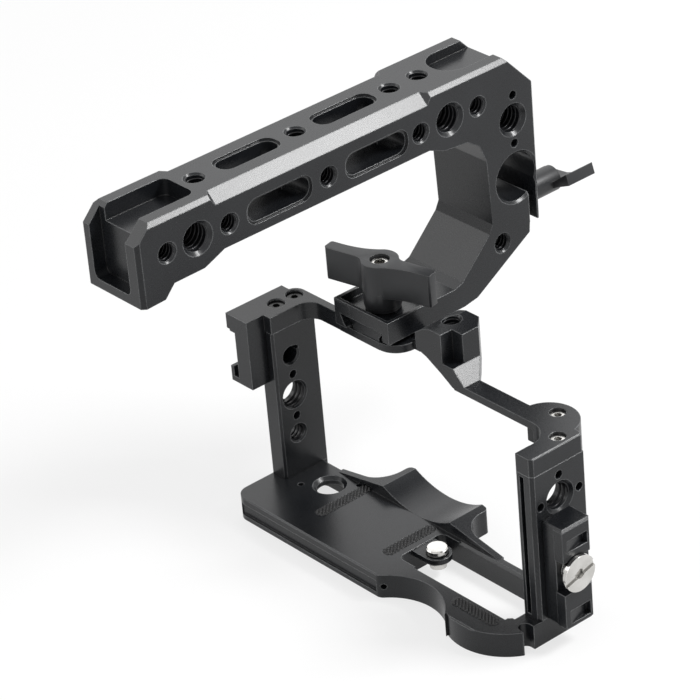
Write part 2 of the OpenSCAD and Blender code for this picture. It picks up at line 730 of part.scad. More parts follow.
module base_outline() {
  difference() {
    union() {
      translate([-base_left, base_corner_radius - base_front])
        square([base_left + bulge_x - bulge_reach / 3, base_front + base_back - base_corner_radius]);
      translate([base_corner_radius - base_left, -base_front])
        square([base_left + bulge_x - bulge_reach / 3 - base_corner_radius, base_front]);
      translate([base_corner_radius - base_left, base_corner_radius - base_front])
        circle(base_corner_radius);
    }
    translate([scoop_x, scoop_depth - base_front - scoop_radius]) circle(scoop_radius, $fn = 96);
    translate([scoop_x - corner_run, scoop_corner - base_front]) difference() {
      polygon([[0, 0], [0, -scoop_corner - fine_overrun],
        [corner_run * corner_share + fine_overrun, -scoop_corner - fine_overrun],
        [corner_run * corner_share, (scoop_depth - scoop_radius - scoop_corner) * corner_share]]);
      circle(scoop_corner + fine_overrun / 4);
    }
  }
  intersection() {
    translate([bulge_x, -bulge_y]) circle(bulge_radius, $fn = 96);
    translate([bulge_x - bulge_reach / 3 - fine_overrun, -bulge_reach - overrun])
      square([base_right - bulge_x + bulge_reach / 3 + fine_overrun, bulge_reach + overrun]);
  }
  translate([bulge_x - bulge_reach / 3 - fine_overrun, -bulge_y - fine_overrun])
    square([base_right - bulge_x + bulge_reach / 3 + fine_overrun, base_back + bulge_y + fine_overrun]);
  translate([right_inner, 0]) square([right_post_thickness, right_post_back]);
  translate([-base_left, 0]) square([left_post_thickness, left_post_back]);
}

// Plan of the saddle block and its shoulders behind the front line
module saddle_outline() {
  translate([-saddle_x - shoulder_half, saddle_front]) square([2 * shoulder_half, shoulder_width]);
  difference() {
    union() {
      translate([-saddle_x - saddle_block_half, saddle_front])
        square([2 * saddle_block_half, saddle_back - saddle_front - edge_chamfer * 2]);
      translate([edge_chamfer * 2 - saddle_x - saddle_block_half, saddle_front])
        square([2 * (saddle_block_half - edge_chamfer * 2), saddle_back - saddle_front]);
      for (side = [-1, 1])
        translate([side * (saddle_block_half - edge_chamfer * 2) - saddle_x, saddle_back - edge_chamfer * 2])
          circle(edge_chamfer * 2);
      translate([-saddle_x - saddle_block_half - saddle_fillet, saddle_front])
        square([2 * (saddle_block_half + saddle_fillet), shoulder_width + saddle_fillet]);
    }
    for (side = [-1, 1])
      translate([side * (saddle_block_half + saddle_fillet) - saddle_x,
          saddle_front + shoulder_width + saddle_fillet])
        circle(saddle_fillet);
    for (side = [-1, 1])
      translate([side * (saddle_block_half + saddle_fillet * 1.5) - saddle_x,
          saddle_front + shoulder_width + saddle_fillet])
        square([saddle_fillet, 2 * saddle_fillet], center = true);
  }
}

module saddle() {
  intersection() {
    translate([0, 0, -saddle_block_depth])
      linear_extrude(saddle_block_depth + saddle_height) saddle_outline();
    translate([0, saddle_back + overrun, 0]) rotate([90, 0, 0])
      linear_extrude(saddle_back) polygon([[-saddle_x - shoulder_half, -base_thickness],
        [-saddle_x - shoulder_half, 0], [-saddle_x - saddle_half_chord, saddle_height],
        [saddle_half_chord - saddle_x, saddle_height], [shoulder_half - saddle_x, 0],
        [shoulder_half - saddle_x, -base_thickness]]);
  }
}

module pad_pocket(x, y, along_x, along_y) {
  translate([0, 0, -pad_depth]) linear_extrude(pad_depth + overrun)
    rounded_box_2d([x - along_x / 2, y - along_y / 2], [x + along_x / 2, y + along_y / 2],
      min(along_x, along_y) / 2 - fine_overrun);
}

module base_plate() {
  color(black) difference() {
    union() {
      translate([0, 0, -base_thickness]) linear_extrude(base_thickness) difference() {
        base_outline();
        rounded_box_2d([-opening_left, -opening_front], [opening_right, opening_back],
          opening_radius);
        translate([base_right + corner_relief_radius - corner_relief_depth, -corner_relief_y])
          circle(corner_relief_radius);
        translate([base_right + corner_relief_radius - corner_relief_depth,
            -corner_relief_y - corner_relief_radius])
          square([corner_relief_depth, 2 * corner_relief_radius]);
      }
      translate([0, 0, -tab_thickness]) {
        translate([-opening_left - fine_overrun, -tab_half_width, 0])
          cube([opening_left + fine_overrun, 2 * tab_half_width, tab_thickness - tab_drop]);
        cylinder(h = tab_thickness - tab_drop, r = tab_half_width);
      }
      saddle();
    }
    translate([-saddle_x, 0, saddle_centre_z]) rotate([-90, 0, 0])
      cylinder(h = saddle_back + overrun, r = saddle_radius, $fn = 120);
    translate([0, 0, -tab_thickness - overrun])
      cylinder(h = tab_thickness + 2 * overrun, r = camera_thread_radius + turn_gap);
    translate([-front_groove_left, -base_front - overrun, -front_groove_drop - front_groove_height])
      cube([front_groove_left - front_groove_right, front_groove_depth + overrun, front_groove_height]);
    pad_pocket(-pad_left_x, -pad_left_y, pad_width + turn_gap, pad_left_length + turn_gap);
    pad_pocket(-pad_middle_x, -pad_middle_y, pad_width + turn_gap, pad_middle_length + turn_gap);
    pad_pocket(pad_front_x, -pad_front_y, pad_front_length + turn_gap, pad_width + turn_gap);
    translate([-base_hole_x, base_hole_y, 0])
      mouthed_hole(hole_large_radius, hole_large_mouth, base_thickness + overrun);
    translate([-base_hole_x, base_hole_y, -base_thickness - overrun])
      linear_extrude(base_thickness + overrun - base_pocket_roof)
        rounded_box_2d([-base_pocket_left, -base_pocket_front], [base_pocket_right, base_pocket_back],
          opening_radius);
    for (side = [-1, 1])
      translate([side * dot_offset_x - base_hole_x, side * dot_offset_y + base_hole_y, -pin_hole_depth])
        cylinder(h = pin_hole_depth + overrun, r = dot_radius);
    translate([front_groove_right * 0.78 - opening_left, overrun - base_front, -front_groove_height])
      rotate([-90, 0, 25]) translate([0, 0, -overrun * 3])
      cylinder(h = overrun * 6, r = dot_radius);
    for (p = post_screw_places()) translate([p[0], p[1], -base_thickness]) {
      translate([0, 0, -overrun])
        cylinder(h = base_head_height + fine_overrun + overrun, r = base_head_radius + turn_gap);
      cylinder(h = base_thickness + overrun, r = base_screw_radius + turn_gap);
    }
    chamfer_x([0, -base_front, 0], 2 * base_left, edge_chamfer / 2);
    chamfer_x([opening_right / 2, -opening_front, 0], opening_right - opening_radius, edge_chamfer);
    chamfer_x([opening_right / 2, opening_back, 0], opening_right - opening_radius, edge_chamfer);
    chamfer_y([opening_right, -opening_front / 4, 0], opening_front + opening_radius, edge_chamfer);
  }
}

// Places of the screws that hold the posts to the base plate
function post_screw_places() = [
  [-base_left + left_post_thickness / 2, 0],
  [-base_left + left_post_thickness / 2, left_post_back - left_post_front],
  [base_right - right_post_thickness / 2, base_head_radius],
  [base_right - right_post_thickness / 2, right_post_back - left_post_front]];

module left_post() {
  color(black) difference() {
    union() {
      translate([-base_left, -left_post_front, 0])
        cube([left_post_thickness, left_post_front + left_post_back, left_post_height]);
      translate([-base_left - left_head_step, -left_post_front, left_head_start])
        cube([left_head_step + overrun, left_post_front + left_post_back,
          left_post_height - left_head_start]);
    }
    translate([-left_face, left_holes_y, left_large_hole]) rotate([0, 90, 0])
      mouthed_hole(hole_large_radius, hole_large_radius + edge_chamfer * 0.8, 2 * left_post_thickness);
    for (z = [left_small_lower, left_small_upper])
      translate([-left_face, left_holes_y, z]) rotate([0, 90, 0])
        mouthed_hole(hole_small_radius, hole_small_mouth, left_post_thickness + overrun * 3);
    for (side = [-1, 1])
      translate([-left_face - pin_hole_depth, left_holes_y, left_large_hole + side * left_pin_offset])
        rotate([0, 90, 0]) cylinder(h = pin_hole_depth + overrun, r = pin_hole_radius);
    translate([-left_face - pin_hole_depth, left_holes_y + key_notch_offset,
        left_small_upper + key_notch_offset])
      rotate([0, 90, 0]) cylinder(h = pin_hole_depth + overrun, r = key_notch_radius);
    for (k = [0, 1]) let (p = post_screw_places()[k]) translate([p[0], p[1], -overrun])
      cylinder(h = base_screw_reach + 2 * overrun, r = base_screw_radius + turn_gap);
    for (y = [left_screw_y1, left_screw_y2])
      translate([-left_screw_x, y, plate_top - top_head_sink - top_head_height - top_screw_length - turn_gap])
        cylinder(h = top_screw_length, r = top_screw_radius + turn_gap);
    chamfer_z([-left_face, -left_post_front, left_post_height / 2], left_post_height * 2, edge_chamfer);
  }
}

module right_post() {
  color(black) difference() {
    union() {
      translate([right_inner, -right_post_front, 0])
        cube([right_post_thickness, right_post_front + right_post_back, right_post_height]);
      translate([0, 0, right_post_height - post_flange]) linear_extrude(post_flange) ear_thick_outline();
    }
    translate([base_right, right_hole_y, right_large_hole]) rotate([0, 90, 0])
      mouthed_hole(hole_large_radius, hole_large_mouth, right_post_thickness + overrun);
    for (p = [[0, 1], [-1, 0], [1, 0]])
      translate([base_right - pin_hole_depth, right_hole_y + p[0] * right_pin_offset,
          right_large_hole + p[1] * right_pin_offset])
        rotate([0, 90, 0]) cylinder(h = pin_hole_depth + overrun, r = pin_hole_radius);
    translate([base_right - post_groove_inset - post_groove_width, -right_post_front
      - overrun, post_groove_low])
      cube([post_groove_width, post_groove_depth + overrun, post_groove_high - post_groove_low]);
    chamfer_z([base_right, -right_post_front, right_post_height / 2], right_post_height * 2, post_chamfer);
    translate([base_right - thumb_shank_length - turn_gap, thumb_y, thumb_height]) rotate([0, 90, 0])
      cylinder(h = thumb_shank_length + overrun, r = thumb_shank_radius + turn_gap);
    for (k = [2, 3]) let (p = post_screw_places()[k]) translate([p[0], p[1], -overrun])
      cylinder(h = base_screw_reach + 2 * overrun, r = base_screw_radius + turn_gap);
    for (p = [[right_screw_x1, right_screw_y1], [right_screw_x2, right_screw_y2]])
      translate([p[0], p[1], bar_top - top_head_sink - top_head_height - top_screw_length - turn_gap])
        cylinder(h = top_screw_length, r = top_screw_radius + turn_gap);
  }
}

// Plan of the arm, its round joint with the left post and the seat's outline
module arm_outline() {
  translate([-shoe_reach + shoe_lip, -shoe_length / 2 - shoe_offset])
    square([shoe_reach - shoe_lip - shoe_inner, shoe_length]);
  translate([-shoe_inner - overrun, -left_post_front])
    square([shoe_inner + overrun - left_face, arm_front + arm_width + left_post_front]);
  translate([-left_face - overrun, arm_front]) square([left_face + overrun - seat_left, arm_width]);
  translate([-left_screw_x, left_screw_y2]) circle(arm_front + arm_width - left_screw_y2);
  translate([-left_screw_x, left_screw_y2])
    square([left_screw_x - left_face, arm_front + arm_width - left_screw_y2]);
  difference() {
    translate([-left_face - fine_overrun, arm_front - arm_fillet])
      square([arm_fillet, arm_fillet + fine_overrun]);
    translate([arm_fillet - left_face, arm_front - arm_fillet]) circle(arm_fillet);
  }
}

module seat_outline() {
  difference() {
    translate([-seat_left - fine_overrun, arm_front - fine_overrun])
      square([seat_left - seat_right + fine_overrun, plate_back - arm_front]);
    difference() {
      translate([-seat_right - seat_corner_radius, arm_front - overrun])
        square([seat_corner_radius + overrun, seat_corner_radius + overrun]);
      translate([-seat_right - seat_corner_radius, arm_front + seat_corner_radius])
        circle(seat_corner_radius);
    }
  }
}

module cold_shoe() {
  difference() {
    translate([-shoe_reach, -shoe_length / 2 - shoe_offset, shoe_low])
      cube([shoe_reach - shoe_inner, shoe_length, plate_top - shoe_low]);
    translate([-shoe_floor - shoe_gap, -shoe_length, shoe_low + shoe_wall])
      cube([shoe_gap, 2 * shoe_length, plate_top - shoe_low - 2 * shoe_wall]);
    translate([-shoe_reach - overrun, -shoe_length, shoe_middle - shoe_opening / 2])
      cube([shoe_lip + 2 * overrun, 2 * shoe_length, shoe_opening]);
    translate([-base_left - left_head_step - turn_gap, -left_post_front - turn_gap, shoe_low - overrun])
      cube([shoe_reach, shoe_length, left_post_height - shoe_low + overrun]);
  }
}

// Underside of the hump toward the bar: shares of its width and of its drop
hump_under_shares = [[0, 1], [0.275, 0.82], [0.66, 0.42], [0.957, 0.06], [1.1, 0]];

module hump_profile() {
  polygon(concat(
    [[-seat_right - overrun, left_post_height], [-seat_right + link_top - hump_low, left_post_height]],
    [for (s = hump_under_shares) [s[0] * (hump_left + hump_right) - hump_left,
      bar_low() + s[1] * (hump_low - bar_low())]],
    [[hump_right + slope_run, bar_low()], [hump_right + slope_run, bar_top], [hump_right, niche_floor],
      [hump_right, hump_top], [hump_shoulder - hump_left, hump_top],
      [hump_shoulder / 2 - hump_left, hump_top - hump_shoulder_drop / 3],
      [-hump_left, hump_top - hump_shoulder_drop], [-hump_left, link_top],
      [-seat_right - overrun, seat_top]]));
}

function bar_low() = bar_top - bar_thickness;

// Plan of the hump, its slope and the link behind the gap
module hump_outline() {
  polygon([[-seat_right - overrun, link_front], [-hump_left, link_front], [-hump_left, hump_front],
    [hump_right + slope_run, hump_front], [hump_right + slope_run, bar_back],
    [hump_right, plate_back - hump_chamfer], [hump_right - hump_chamfer, plate_back],
    [-seat_right - overrun, plate_back]]);
}

module hump() {
  difference() {
    intersection() {
      translate([0, plate_back, 0]) rotate([90, 0, 0])
        linear_extrude(plate_back - hump_front) hump_profile();
      linear_extrude(2 * hump_top) hump_outline();
    }
    translate([hump_right - niche_width, hump_front - overrun, niche_floor])
      cube([niche_width + overrun, niche_width + overrun, hump_top]);
    translate([-hump_hole_x, hump_hole_y, hump_top])
      mouthed_hole(hole_small_radius, hole_small_mouth, hump_top - hump_low);
  }
}

module ear_outline() {
  difference() {
    union() {
      translate([ear_relief_x, ear_relief_y])
        square([base_right - ear_relief_x, right_post_back - ear_relief_y]);
      translate([right_inner, -right_post_front]) square([right_post_thickness, right_post_back]);
      intersection() {
        translate([ear_lobe_x, ear_lobe_y]) circle(ear_lobe_radius);
        translate([ear_lobe_x - 2 * ear_lobe_radius, hump_front])
          square([4 * ear_lobe_radius, 2 * ear_lobe_radius]);
      }
    }
    translate([ear_relief_x, ear_relief_y]) circle(ear_relief_radius);
    translate([base_right + edge_chamfer, right_post_back + edge_chamfer * 3]) circle(edge_chamfer * 4);
  }
}

// The ear and the post's flange are full height only from here to the right
module ear_thick_outline() {
  intersection() {
    ear_outline();
    union() {
      translate([ear_relief_x, -right_post_front]) square([base_right, right_post_back + right_post_front]);
      translate([ear_lobe_x - 2 * ear_lobe_radius, right_post_back - overrun])
        square([4 * ear_lobe_radius, 2 * ear_lobe_radius]);
    }
  }
}

module bar_and_ear() {
  translate([hump_right, hump_front, bar_low()])
    cube([ear_relief_x + fine_overrun - hump_right, bar_back - hump_front, bar_thickness]);
  translate([0, 0, bar_low()]) linear_extrude(bar_thickness) ear_outline();
  translate([0, 0, right_post_height]) linear_extrude(bar_top - right_post_height) ear_thick_outline();
}

module top_plate() {
  color(black) difference() {
    union() {
      translate([0, 0, left_post_height]) linear_extrude(plate_top - left_post_height) arm_outline();
      translate([0, 0, left_post_height]) linear_extrude(seat_top - left_post_height) seat_outline();
      cold_shoe();
      hump();
      bar_and_ear();
    }
    for (y = [left_screw_y1, left_screw_y2]) translate([-left_screw_x, y, 0]) {
      translate([0, 0, plate_top - top_head_sink - top_head_height])
        cylinder(h = top_head_height + top_head_sink + overrun, r = left_head_radius + turn_gap);
      translate([0, 0, plate_top]) mouthed_hole(left_head_radius, left_head_radius + fine_overrun * 4,
        top_head_sink);
      cylinder(h = plate_top, r = top_screw_radius + turn_gap);
    }
    for (p = [[right_screw_x1, right_screw_y1], [right_screw_x2, right_screw_y2]])
      translate([p[0], p[1], 0]) {
        translate([0, 0, bar_top - top_head_sink - top_head_height])
          cylinder(h = top_head_height + top_head_sink + overrun, r = right_head_radius + turn_gap);
        cylinder(h = bar_top, r = top_screw_radius + turn_gap);
      }
    for (y = [-1, 1]) translate([-handle_x, rail_middle_y + y * rail_screw_spacing / 2, 0])
      cylinder(h = seat_top + overrun, r = rail_screw_radius + turn_gap);
    chamfer_y([base_right, right_hole_y, bar_top], 3 * right_post_back, edge_chamfer / 2);
    chamfer_z([base_right, -right_post_front, bar_top - post_chamfer], right_post_back, post_chamfer);
  }
}

module handle_rail() {
  color(black) difference() {
    translate([0, plate_back, 0]) rotate([90, 0, 0]) linear_extrude(plate_back - rail_front) polygon([
      [rail_undercut - rail_left, seat_top], [-rail_right - rail_undercut, seat_top],
      [-rail_right - rail_undercut, rail_band - rail_undercut], [-rail_right, rail_band],
      [-rail_right, rail_band + rail_band_thickness], [-rail_right - rail_bevel, rail_top],
      [rail_bevel - rail_left, rail_top], [-rail_left, rail_band + rail_band_thickness],
      [-rail_left, rail_band], [rail_undercut - rail_left, rail_band - rail_undercut]]);
    translate([-handle_x, rail_middle_y, rail_groove_floor]) linear_extrude(rail_top)
      rounded_box_2d([-rail_groove_half, -rail_groove_length / 2],
        [rail_groove_half, rail_groove_length / 2], rail_groove_half - fine_overrun);
    for (y = [-1, 1]) translate([-handle_x, rail_middle_y + y * rail_screw_spacing / 2, 0]) {
      cylinder(h = rail_top, r = rail_screw_radius + turn_gap);
      translate([0, 0, rail_groove_floor - rail_head_height()])
        cylinder(h = rail_top, r = rail_head_radius + turn_gap);
    }
  }
}

function rail_head_height() = rail_undercut;

module rail_screws() {
  color(silver) for (y = [-1, 1])
    translate([-handle_x, rail_middle_y + y * rail_screw_spacing / 2, rail_groove_floor - turn_gap])
      cap_screw(rail_head_radius, rail_head_height() - turn_gap, rail_screw_radius,
        rail_groove_floor - rail_head_height() - left_post_height, rail_head_radius);
}

module left_top_screws() {
  color(silver) for (y = [left_screw_y1, left_screw_y2])
    translate([-left_screw_x, y, plate_top - top_head_sink])
      cap_screw(left_head_radius, top_head_height, top_screw_radius, top_screw_length, small_hex);
}

module right_top_screws() {
  color(silver) {
    translate([right_screw_x1, right_screw_y1, bar_top - top_head_sink])
      cap_screw(right_head_radius, top_head_height, top_screw_radius, top_screw_length, small_hex);
    translate([right_screw_x2, right_screw_y2, bar_top - top_head_sink])
      cap_screw(right_head_radius, top_head_height, top_screw_radius, top_screw_length, small_hex);
  }
}

module post_base_screws() {
  color(silver) for (p = post_screw_places())
    translate([p[0], p[1], fine_overrun - base_thickness]) rotate([180, 0, 0])
      cap_screw(base_head_radius, base_head_height, base_screw_radius,
        base_thickness - base_head_height + base_screw_reach, base_head_radius);
}

module grip_pad(x, y, along_x, along_y) {
  color(rubber) translate([0, 0, -pad_depth]) linear_extrude(pad_depth + pad_proud)
    rounded_box_2d([x - along_x / 2, y - along_y / 2], [x + along_x / 2, y + along_y / 2],
      min(along_x, along_y) / 2 - fine_overrun);
}

module grip_pad_left() {
  grip_pad(-pad_left_x, -pad_left_y, pad_width, pad_left_length);
}

module grip_pad_middle() {
  grip_pad(-pad_middle_x, -pad_middle_y, pad_width, pad_middle_length);
}

module grip_pad_front() {
  grip_pad(pad_front_x, -pad_front_y, pad_front_length, pad_width);
}

module camera_screw() {
  color(silver) difference() {
    rotate_extrude() polygon([[0, -camera_screw_depth], [camera_neck_radius, -camera_screw_depth],
      [camera_neck_radius, camera_screw_rise - camera_thread_length],
      [camera_thread_radius, camera_screw_rise - camera_thread_length],
      [camera_thread_radius, camera_screw_rise - camera_tip_chamfer],
      [camera_thread_radius - camera_tip_chamfer, camera_screw_rise], [0, camera_screw_rise]]);
    translate([0, 0, -camera_screw_depth - overrun])
      cylinder(h = camera_hex_depth + overrun, r = camera_hex / 2, $fn = 6);
  }
}

module screw_clip() {
  color(silver) translate([0, 0, -tab_thickness - slide_gap - clip_thickness]) difference() {
    cylinder(h = clip_thickness, r = clip_radius);
    translate([0, 0, -overrun])
      cylinder(h = clip_thickness + 2 * overrun, r = camera_neck_radius + turn_gap);
  }
}

// Pocket that deepens toward the rear, its floor's height and its own height given
module cable_pocket(z, height) {
  translate([base_right + clamp_thickness, clamp_middle_y - cable_pocket_width / 2, z])
    rotate([0, 0, cable_pocket_tilt]) cube([3 * cable_pocket_depth, cable_pocket_width, height]);
}

module cable_clamp() {
  color(black) difference() {
    union() {
      translate([base_right + turn_gap, clamp_inset - clamp_front, clamp_low])
        cube([clamp_back_thickness - turn_gap, clamp_width - clamp_inset, clamp_high - clamp_low]);
      translate([base_right + clamp_back_thickness - fine_overrun, -clamp_front, clamp_upper_block])
        cube([clamp_thickness - clamp_back_thickness + fine_overrun, clamp_width,
          clamp_high - clamp_upper_block]);
      translate([base_right + clamp_back_thickness - fine_overrun, -clamp_front, clamp_low])
        cube([clamp_thickness - clamp_back_thickness + fine_overrun, clamp_width,
          clamp_lower_block - clamp_low]);
    }
    translate([base_right - overrun, thumb_y, 0]) rotate([0, 90, 0]) linear_extrude(clamp_thickness)
      rounded_box_2d([-thumb_height - thumb_shank_radius - clamp_travel_down - slide_gap,
          -thumb_shank_radius - slide_gap],
        [-thumb_height + thumb_shank_radius + clamp_travel_up + slide_gap,
          thumb_shank_radius + slide_gap], thumb_shank_radius);
    cable_pocket(cable_floor_upper, cable_pocket_upper);
    cable_pocket(cable_floor_lower, cable_pocket_lower);
    chamfer_y([base_right + clamp_thickness, clamp_middle_y, clamp_high], 2 * clamp_width, edge_chamfer);
    chamfer_x([base_right + clamp_thickness, -clamp_front, clamp_high], 2 * clamp_thickness, edge_chamfer);
    chamfer_z([base_right + clamp_thickness, clamp_width - clamp_front, 0], 4 * clamp_high, edge_chamfer);
  }
}

module thumb_screw() {
  color(silver) translate([collar_start + thumb_washer_thickness, thumb_y, thumb_height])
    rotate([0, 90, 0]) difference() {
      union() {
        cylinder(h = thumb_collar_length, r = thumb_collar_radius);
        translate([0, 0, thumb_collar_length]) cylinder(h = thumb_thickness, r = thumb_radius);
        translate([0, 0, base_right - collar_start - thumb_washer_thickness - thumb_shank_length])
          cylinder(h = thumb_shank_length + clamp_back_thickness + slide_gap + thumb_washer_thickness
            + fine_overrun, r = thumb_shank_radius);
      }
      translate([0, 0, thumb_collar_length + thumb_thickness - thumb_slot_depth])
        rotate([0, 0, thumb_slot_angle]) translate([-thumb_slot_width / 2, -thumb_radius - overrun, 0])
        cube([thumb_slot_width, 2 * (thumb_radius + overrun), thumb_thickness]);
      translate([0, 0, thumb_collar_length])
        cylinder(h = 2 * thumb_thickness, r = thumb_hex / 2, $fn = 6);
    }
}

module thumb_washer() {
  color(silver) translate([collar_start, thumb_y, thumb_height]) rotate([0, 90, 0]) difference() {
    cylinder(h = thumb_washer_thickness - turn_gap, r = thumb_collar_radius);
    translate([0, 0, -overrun]) cylinder(h = 3 * overrun, r = thumb_shank_radius + turn_gap);
  }
}

// Height of a share of the handle's rise: its foot keeps its size when the handle gets taller
function handle_height(s) = foot_low + (s < foot_share ? s * foot_part / foot_share
  : foot_part + (s - foot_share) * (handle_rise - foot_part) / (1 - foot_share));

function handle_point(p) = [p[0] * handle_length - handle_front, handle_height(p[1])];

// Slot through the handle's sides from one place to another along the row
module side_slot(from, to) {
  translate([-handle_x, 0, side_row_height]) rotate([90, 0, 90]) {
    linear_extrude(2 * handle_width, center = true)
      rounded_box_2d([from, -slot_width / 2], [to, slot_width / 2], slot_width / 2 - fine_overrun);
    for (side = [-1, 1]) translate([0, 0, side * handle_width / 2])
      linear_extrude(2 * slot_mouth, center = true)
        rounded_box_2d([from - slot_mouth, -slot_width / 2 - slot_mouth],
          [to + slot_mouth, slot_width / 2 + slot_mouth], slot_width / 2);
  }
}

module top_slot(from, to) {
  translate([-handle_x, 0, handle_top]) {
    linear_extrude(2 * (handle_top - side_row_height) + slot_width, center = true)
      rounded_box_2d([-slot_width / 2, from], [slot_width / 2, to], slot_width / 2 - fine_overrun);
    linear_extrude(2 * slot_mouth, center = true)
      rounded_box_2d([-slot_width / 2 - slot_mouth, from - slot_mouth],
        [slot_width / 2 + slot_mouth, to + slot_mouth], slot_width / 2);
  }
}

// Hole right through the handle's sides with a mouth on each side
module side_hole(y, z, r, mouth) {
  for (side = [0, 180]) translate([-handle_x, y, z]) rotate([0, 90, 0]) rotate([side, 0, 0])
    translate([0, 0, handle_width / 2])
    mouthed_hole(r, mouth, handle_width / 2 + fine_overrun);
}

// Places along the grip, as shares of the handle's length from its front face
side_small_shares = [0.0681, 0.2175, 0.4625, 0.698, 0.848];
side_large_shares = [0.141, 0.774];
side_slot_shares = [[0.2646, 0.416], [0.5088, 0.6604]];
top_small_shares = [0.206, 0.4533, 0.694, 0.767];
top_slot_shares = [[0.2639, 0.4028], [0.5053, 0.6463]];
// Places of the holes in the handle's rear arm: shares of length and rise
arm_pin_shares = [[0.9411, 0.8289], [0.9383, 0.6167]];
arm_large_share = [0.9375, 0.7214];
arm_small_share = [0.891, 0.2];

module handle_holes() {
  for (s = side_small_shares)
    side_hole(s * handle_length - handle_front, side_row_height, hole_small_radius, hole_small_mouth);
  for (s = side_large_shares)
    side_hole(s * handle_length - handle_front, side_row_height, hole_large_radius, hole_large_mouth);
  for (s = side_slot_shares)
    side_slot(s[0] * handle_length - handle_front, s[1] * handle_length - handle_front);
  for (s = top_slot_shares)
    top_slot(s[0] * handle_length - handle_front, s[1] * handle_length - handle_front);
  for (s = top_small_shares)
    translate([-handle_x, s * handle_length - handle_front, handle_top])
      mouthed_hole(hole_small_radius, hole_small_mouth, handle_top - side_row_height - hole_small_radius
        - slot_mouth);
  for (s = arm_pin_shares)
    let (p = handle_point(s)) side_hole(p[0], p[1], pin_hole_radius, pin_hole_radius + fine_overrun);
  let (p = handle_point(arm_large_share)) side_hole(p[0], p[1], hole_large_radius, hole_large_mouth);
  let (p = handle_point(arm_small_share)) side_hole(p[0], p[1], hole_small_radius, hole_small_mouth);
  side_hole(rod_y, rod_height, rod_radius, rod_radius + edge_chamfer);
}

module handle_pockets() {
  translate([-handle_x - front_pocket_offset, front_pocket_depth - handle_front, 0]) rotate([90, 0, 0])
    linear_extrude(front_pocket_depth + overrun)
    rounded_box_2d([-front_pocket_width / 2, front_pocket_low], [front_pocket_width / 2, 2 * handle_top],
      front_pocket_radius);
  translate([-handle_x, 0, top_pocket_floor]) linear_extrude(handle_top)
    rounded_box_2d([-top_pocket_width / 2, -handle_front - handle_width],
      [top_pocket_width / 2, top_pocket_length - handle_front], front_pocket_radius * 1.3);
  translate([-handle_x, 0, handle_top - rear_pocket_depth]) linear_extrude(handle_top)
    rounded_box_2d([-rear_pocket_width / 2, rear_pocket_front],
      [rear_pocket_width / 2, handle_back + rear_pocket_width], rear_pocket_width / 2 - fine_overrun);
}

// Wide chamfer along the upper right edge from one place to another, with slanted run-outs
module wide_chamfer(ends) {
  rotate([0, -45, 0]) translate([-grip_chamfer / sqrt(2), 0, 0])
    linear_extrude(4 * grip_chamfer, center = true)
    polygon([[0, ends[0]], [0, ends[1]], [2 * grip_chamfer, ends[1] + 2 * grip_chamfer],
      [2 * grip_chamfer, ends[0] - 2 * grip_chamfer]]);
}

module handle_chamfers() {
  for (side = [-1, 1]) {
    translate([-handle_x + side * handle_width / 2, 0, handle_top]) rotate([0, 0, 90 - side * 90])
      wide_chamfer(side > 0 ? [-grip_chamfer_front, grip_chamfer_back]
        : [-grip_chamfer_back, grip_chamfer_front]);
    chamfer_y([-handle_x + side * handle_width / 2, 0, handle_top], 2 * handle_length, handle_chamfer);
    chamfer_z([-handle_x + side * handle_width / 2, handle_back, handle_top / 2], 2 * handle_top,
      handle_chamfer);
  }
  chamfer_z([-handle_right, -handle_front, handle_top], handle_rise, handle_chamfer);
}

// Clamping slit beside the leaf, up to the rod hole
module clamp_slit() {
  translate([-handle_x - handle_width, slit_front, leaf_low - overrun])
    cube([2 * handle_width, leaf_front - slit_front, rod_height - leaf_low]);
}

// Cross-section of the hollow that the rail and the jaw run in
module cavity_profile() {
  polygon([[-handle_left + foot_left_wall, cavity_top],
    [-rail_left - turn_gap * 3, rail_band],
    [-handle_left + hook_reach, rail_band - hook_reach + handle_left - rail_left - turn_gap * 3],
    [-handle_left + hook_reach, hook_low - overrun],
    [-handle_right - foot_right_leg, hook_low - overrun],
    [-handle_right - foot_right_leg, cavity_top]]);
}

module handle_foot() {
  translate([-handle_left, foot_front, hook_low])
    cube([hook_reach + foot_left_wall, handle_point(handle_outline_shares[17])[0] - foot_front,
      foot_rim - hook_low]);
}

module handle_body() {
  color(black) difference() {
    union() {
      translate([-handle_left, 0, 0]) rotate([90, 0, 90]) linear_extrude(handle_width)
        polygon([for (p = handle_outline_shares) handle_point(p)]);
      handle_foot();
    }
    handle_chamfers();
    handle_holes();
    handle_pockets();
    clamp_slit();
    translate([0, handle_back, 0]) rotate([90, 0, 0]) linear_extrude(handle_back) cavity_profile();
    translate([0, 0, foot_floor]) linear_extrude(foot_rim - foot_floor + overrun)
      rounded_box_2d([foot_rim_width - handle_left, foot_front + foot_rim_width],
        [-handle_right - foot_rim_width, knob_y + knob_y - foot_front - foot_rim_width + 2 * overrun],
        foot_rim_width);
    translate([-handle_x, knob_y, cavity_top - overrun])
      cylinder(h = foot_floor - cavity_top + 2 * overrun, r = stud_radius + turn_gap);
    translate([-handle_x, handle_back + overrun, lever_height]) rotate([90, 0, 0])
        cylinder(h = handle_back - slit_front + lever_stud_depth + 2 * overrun, r = lever_stud_radius + turn_gap);
  }
}

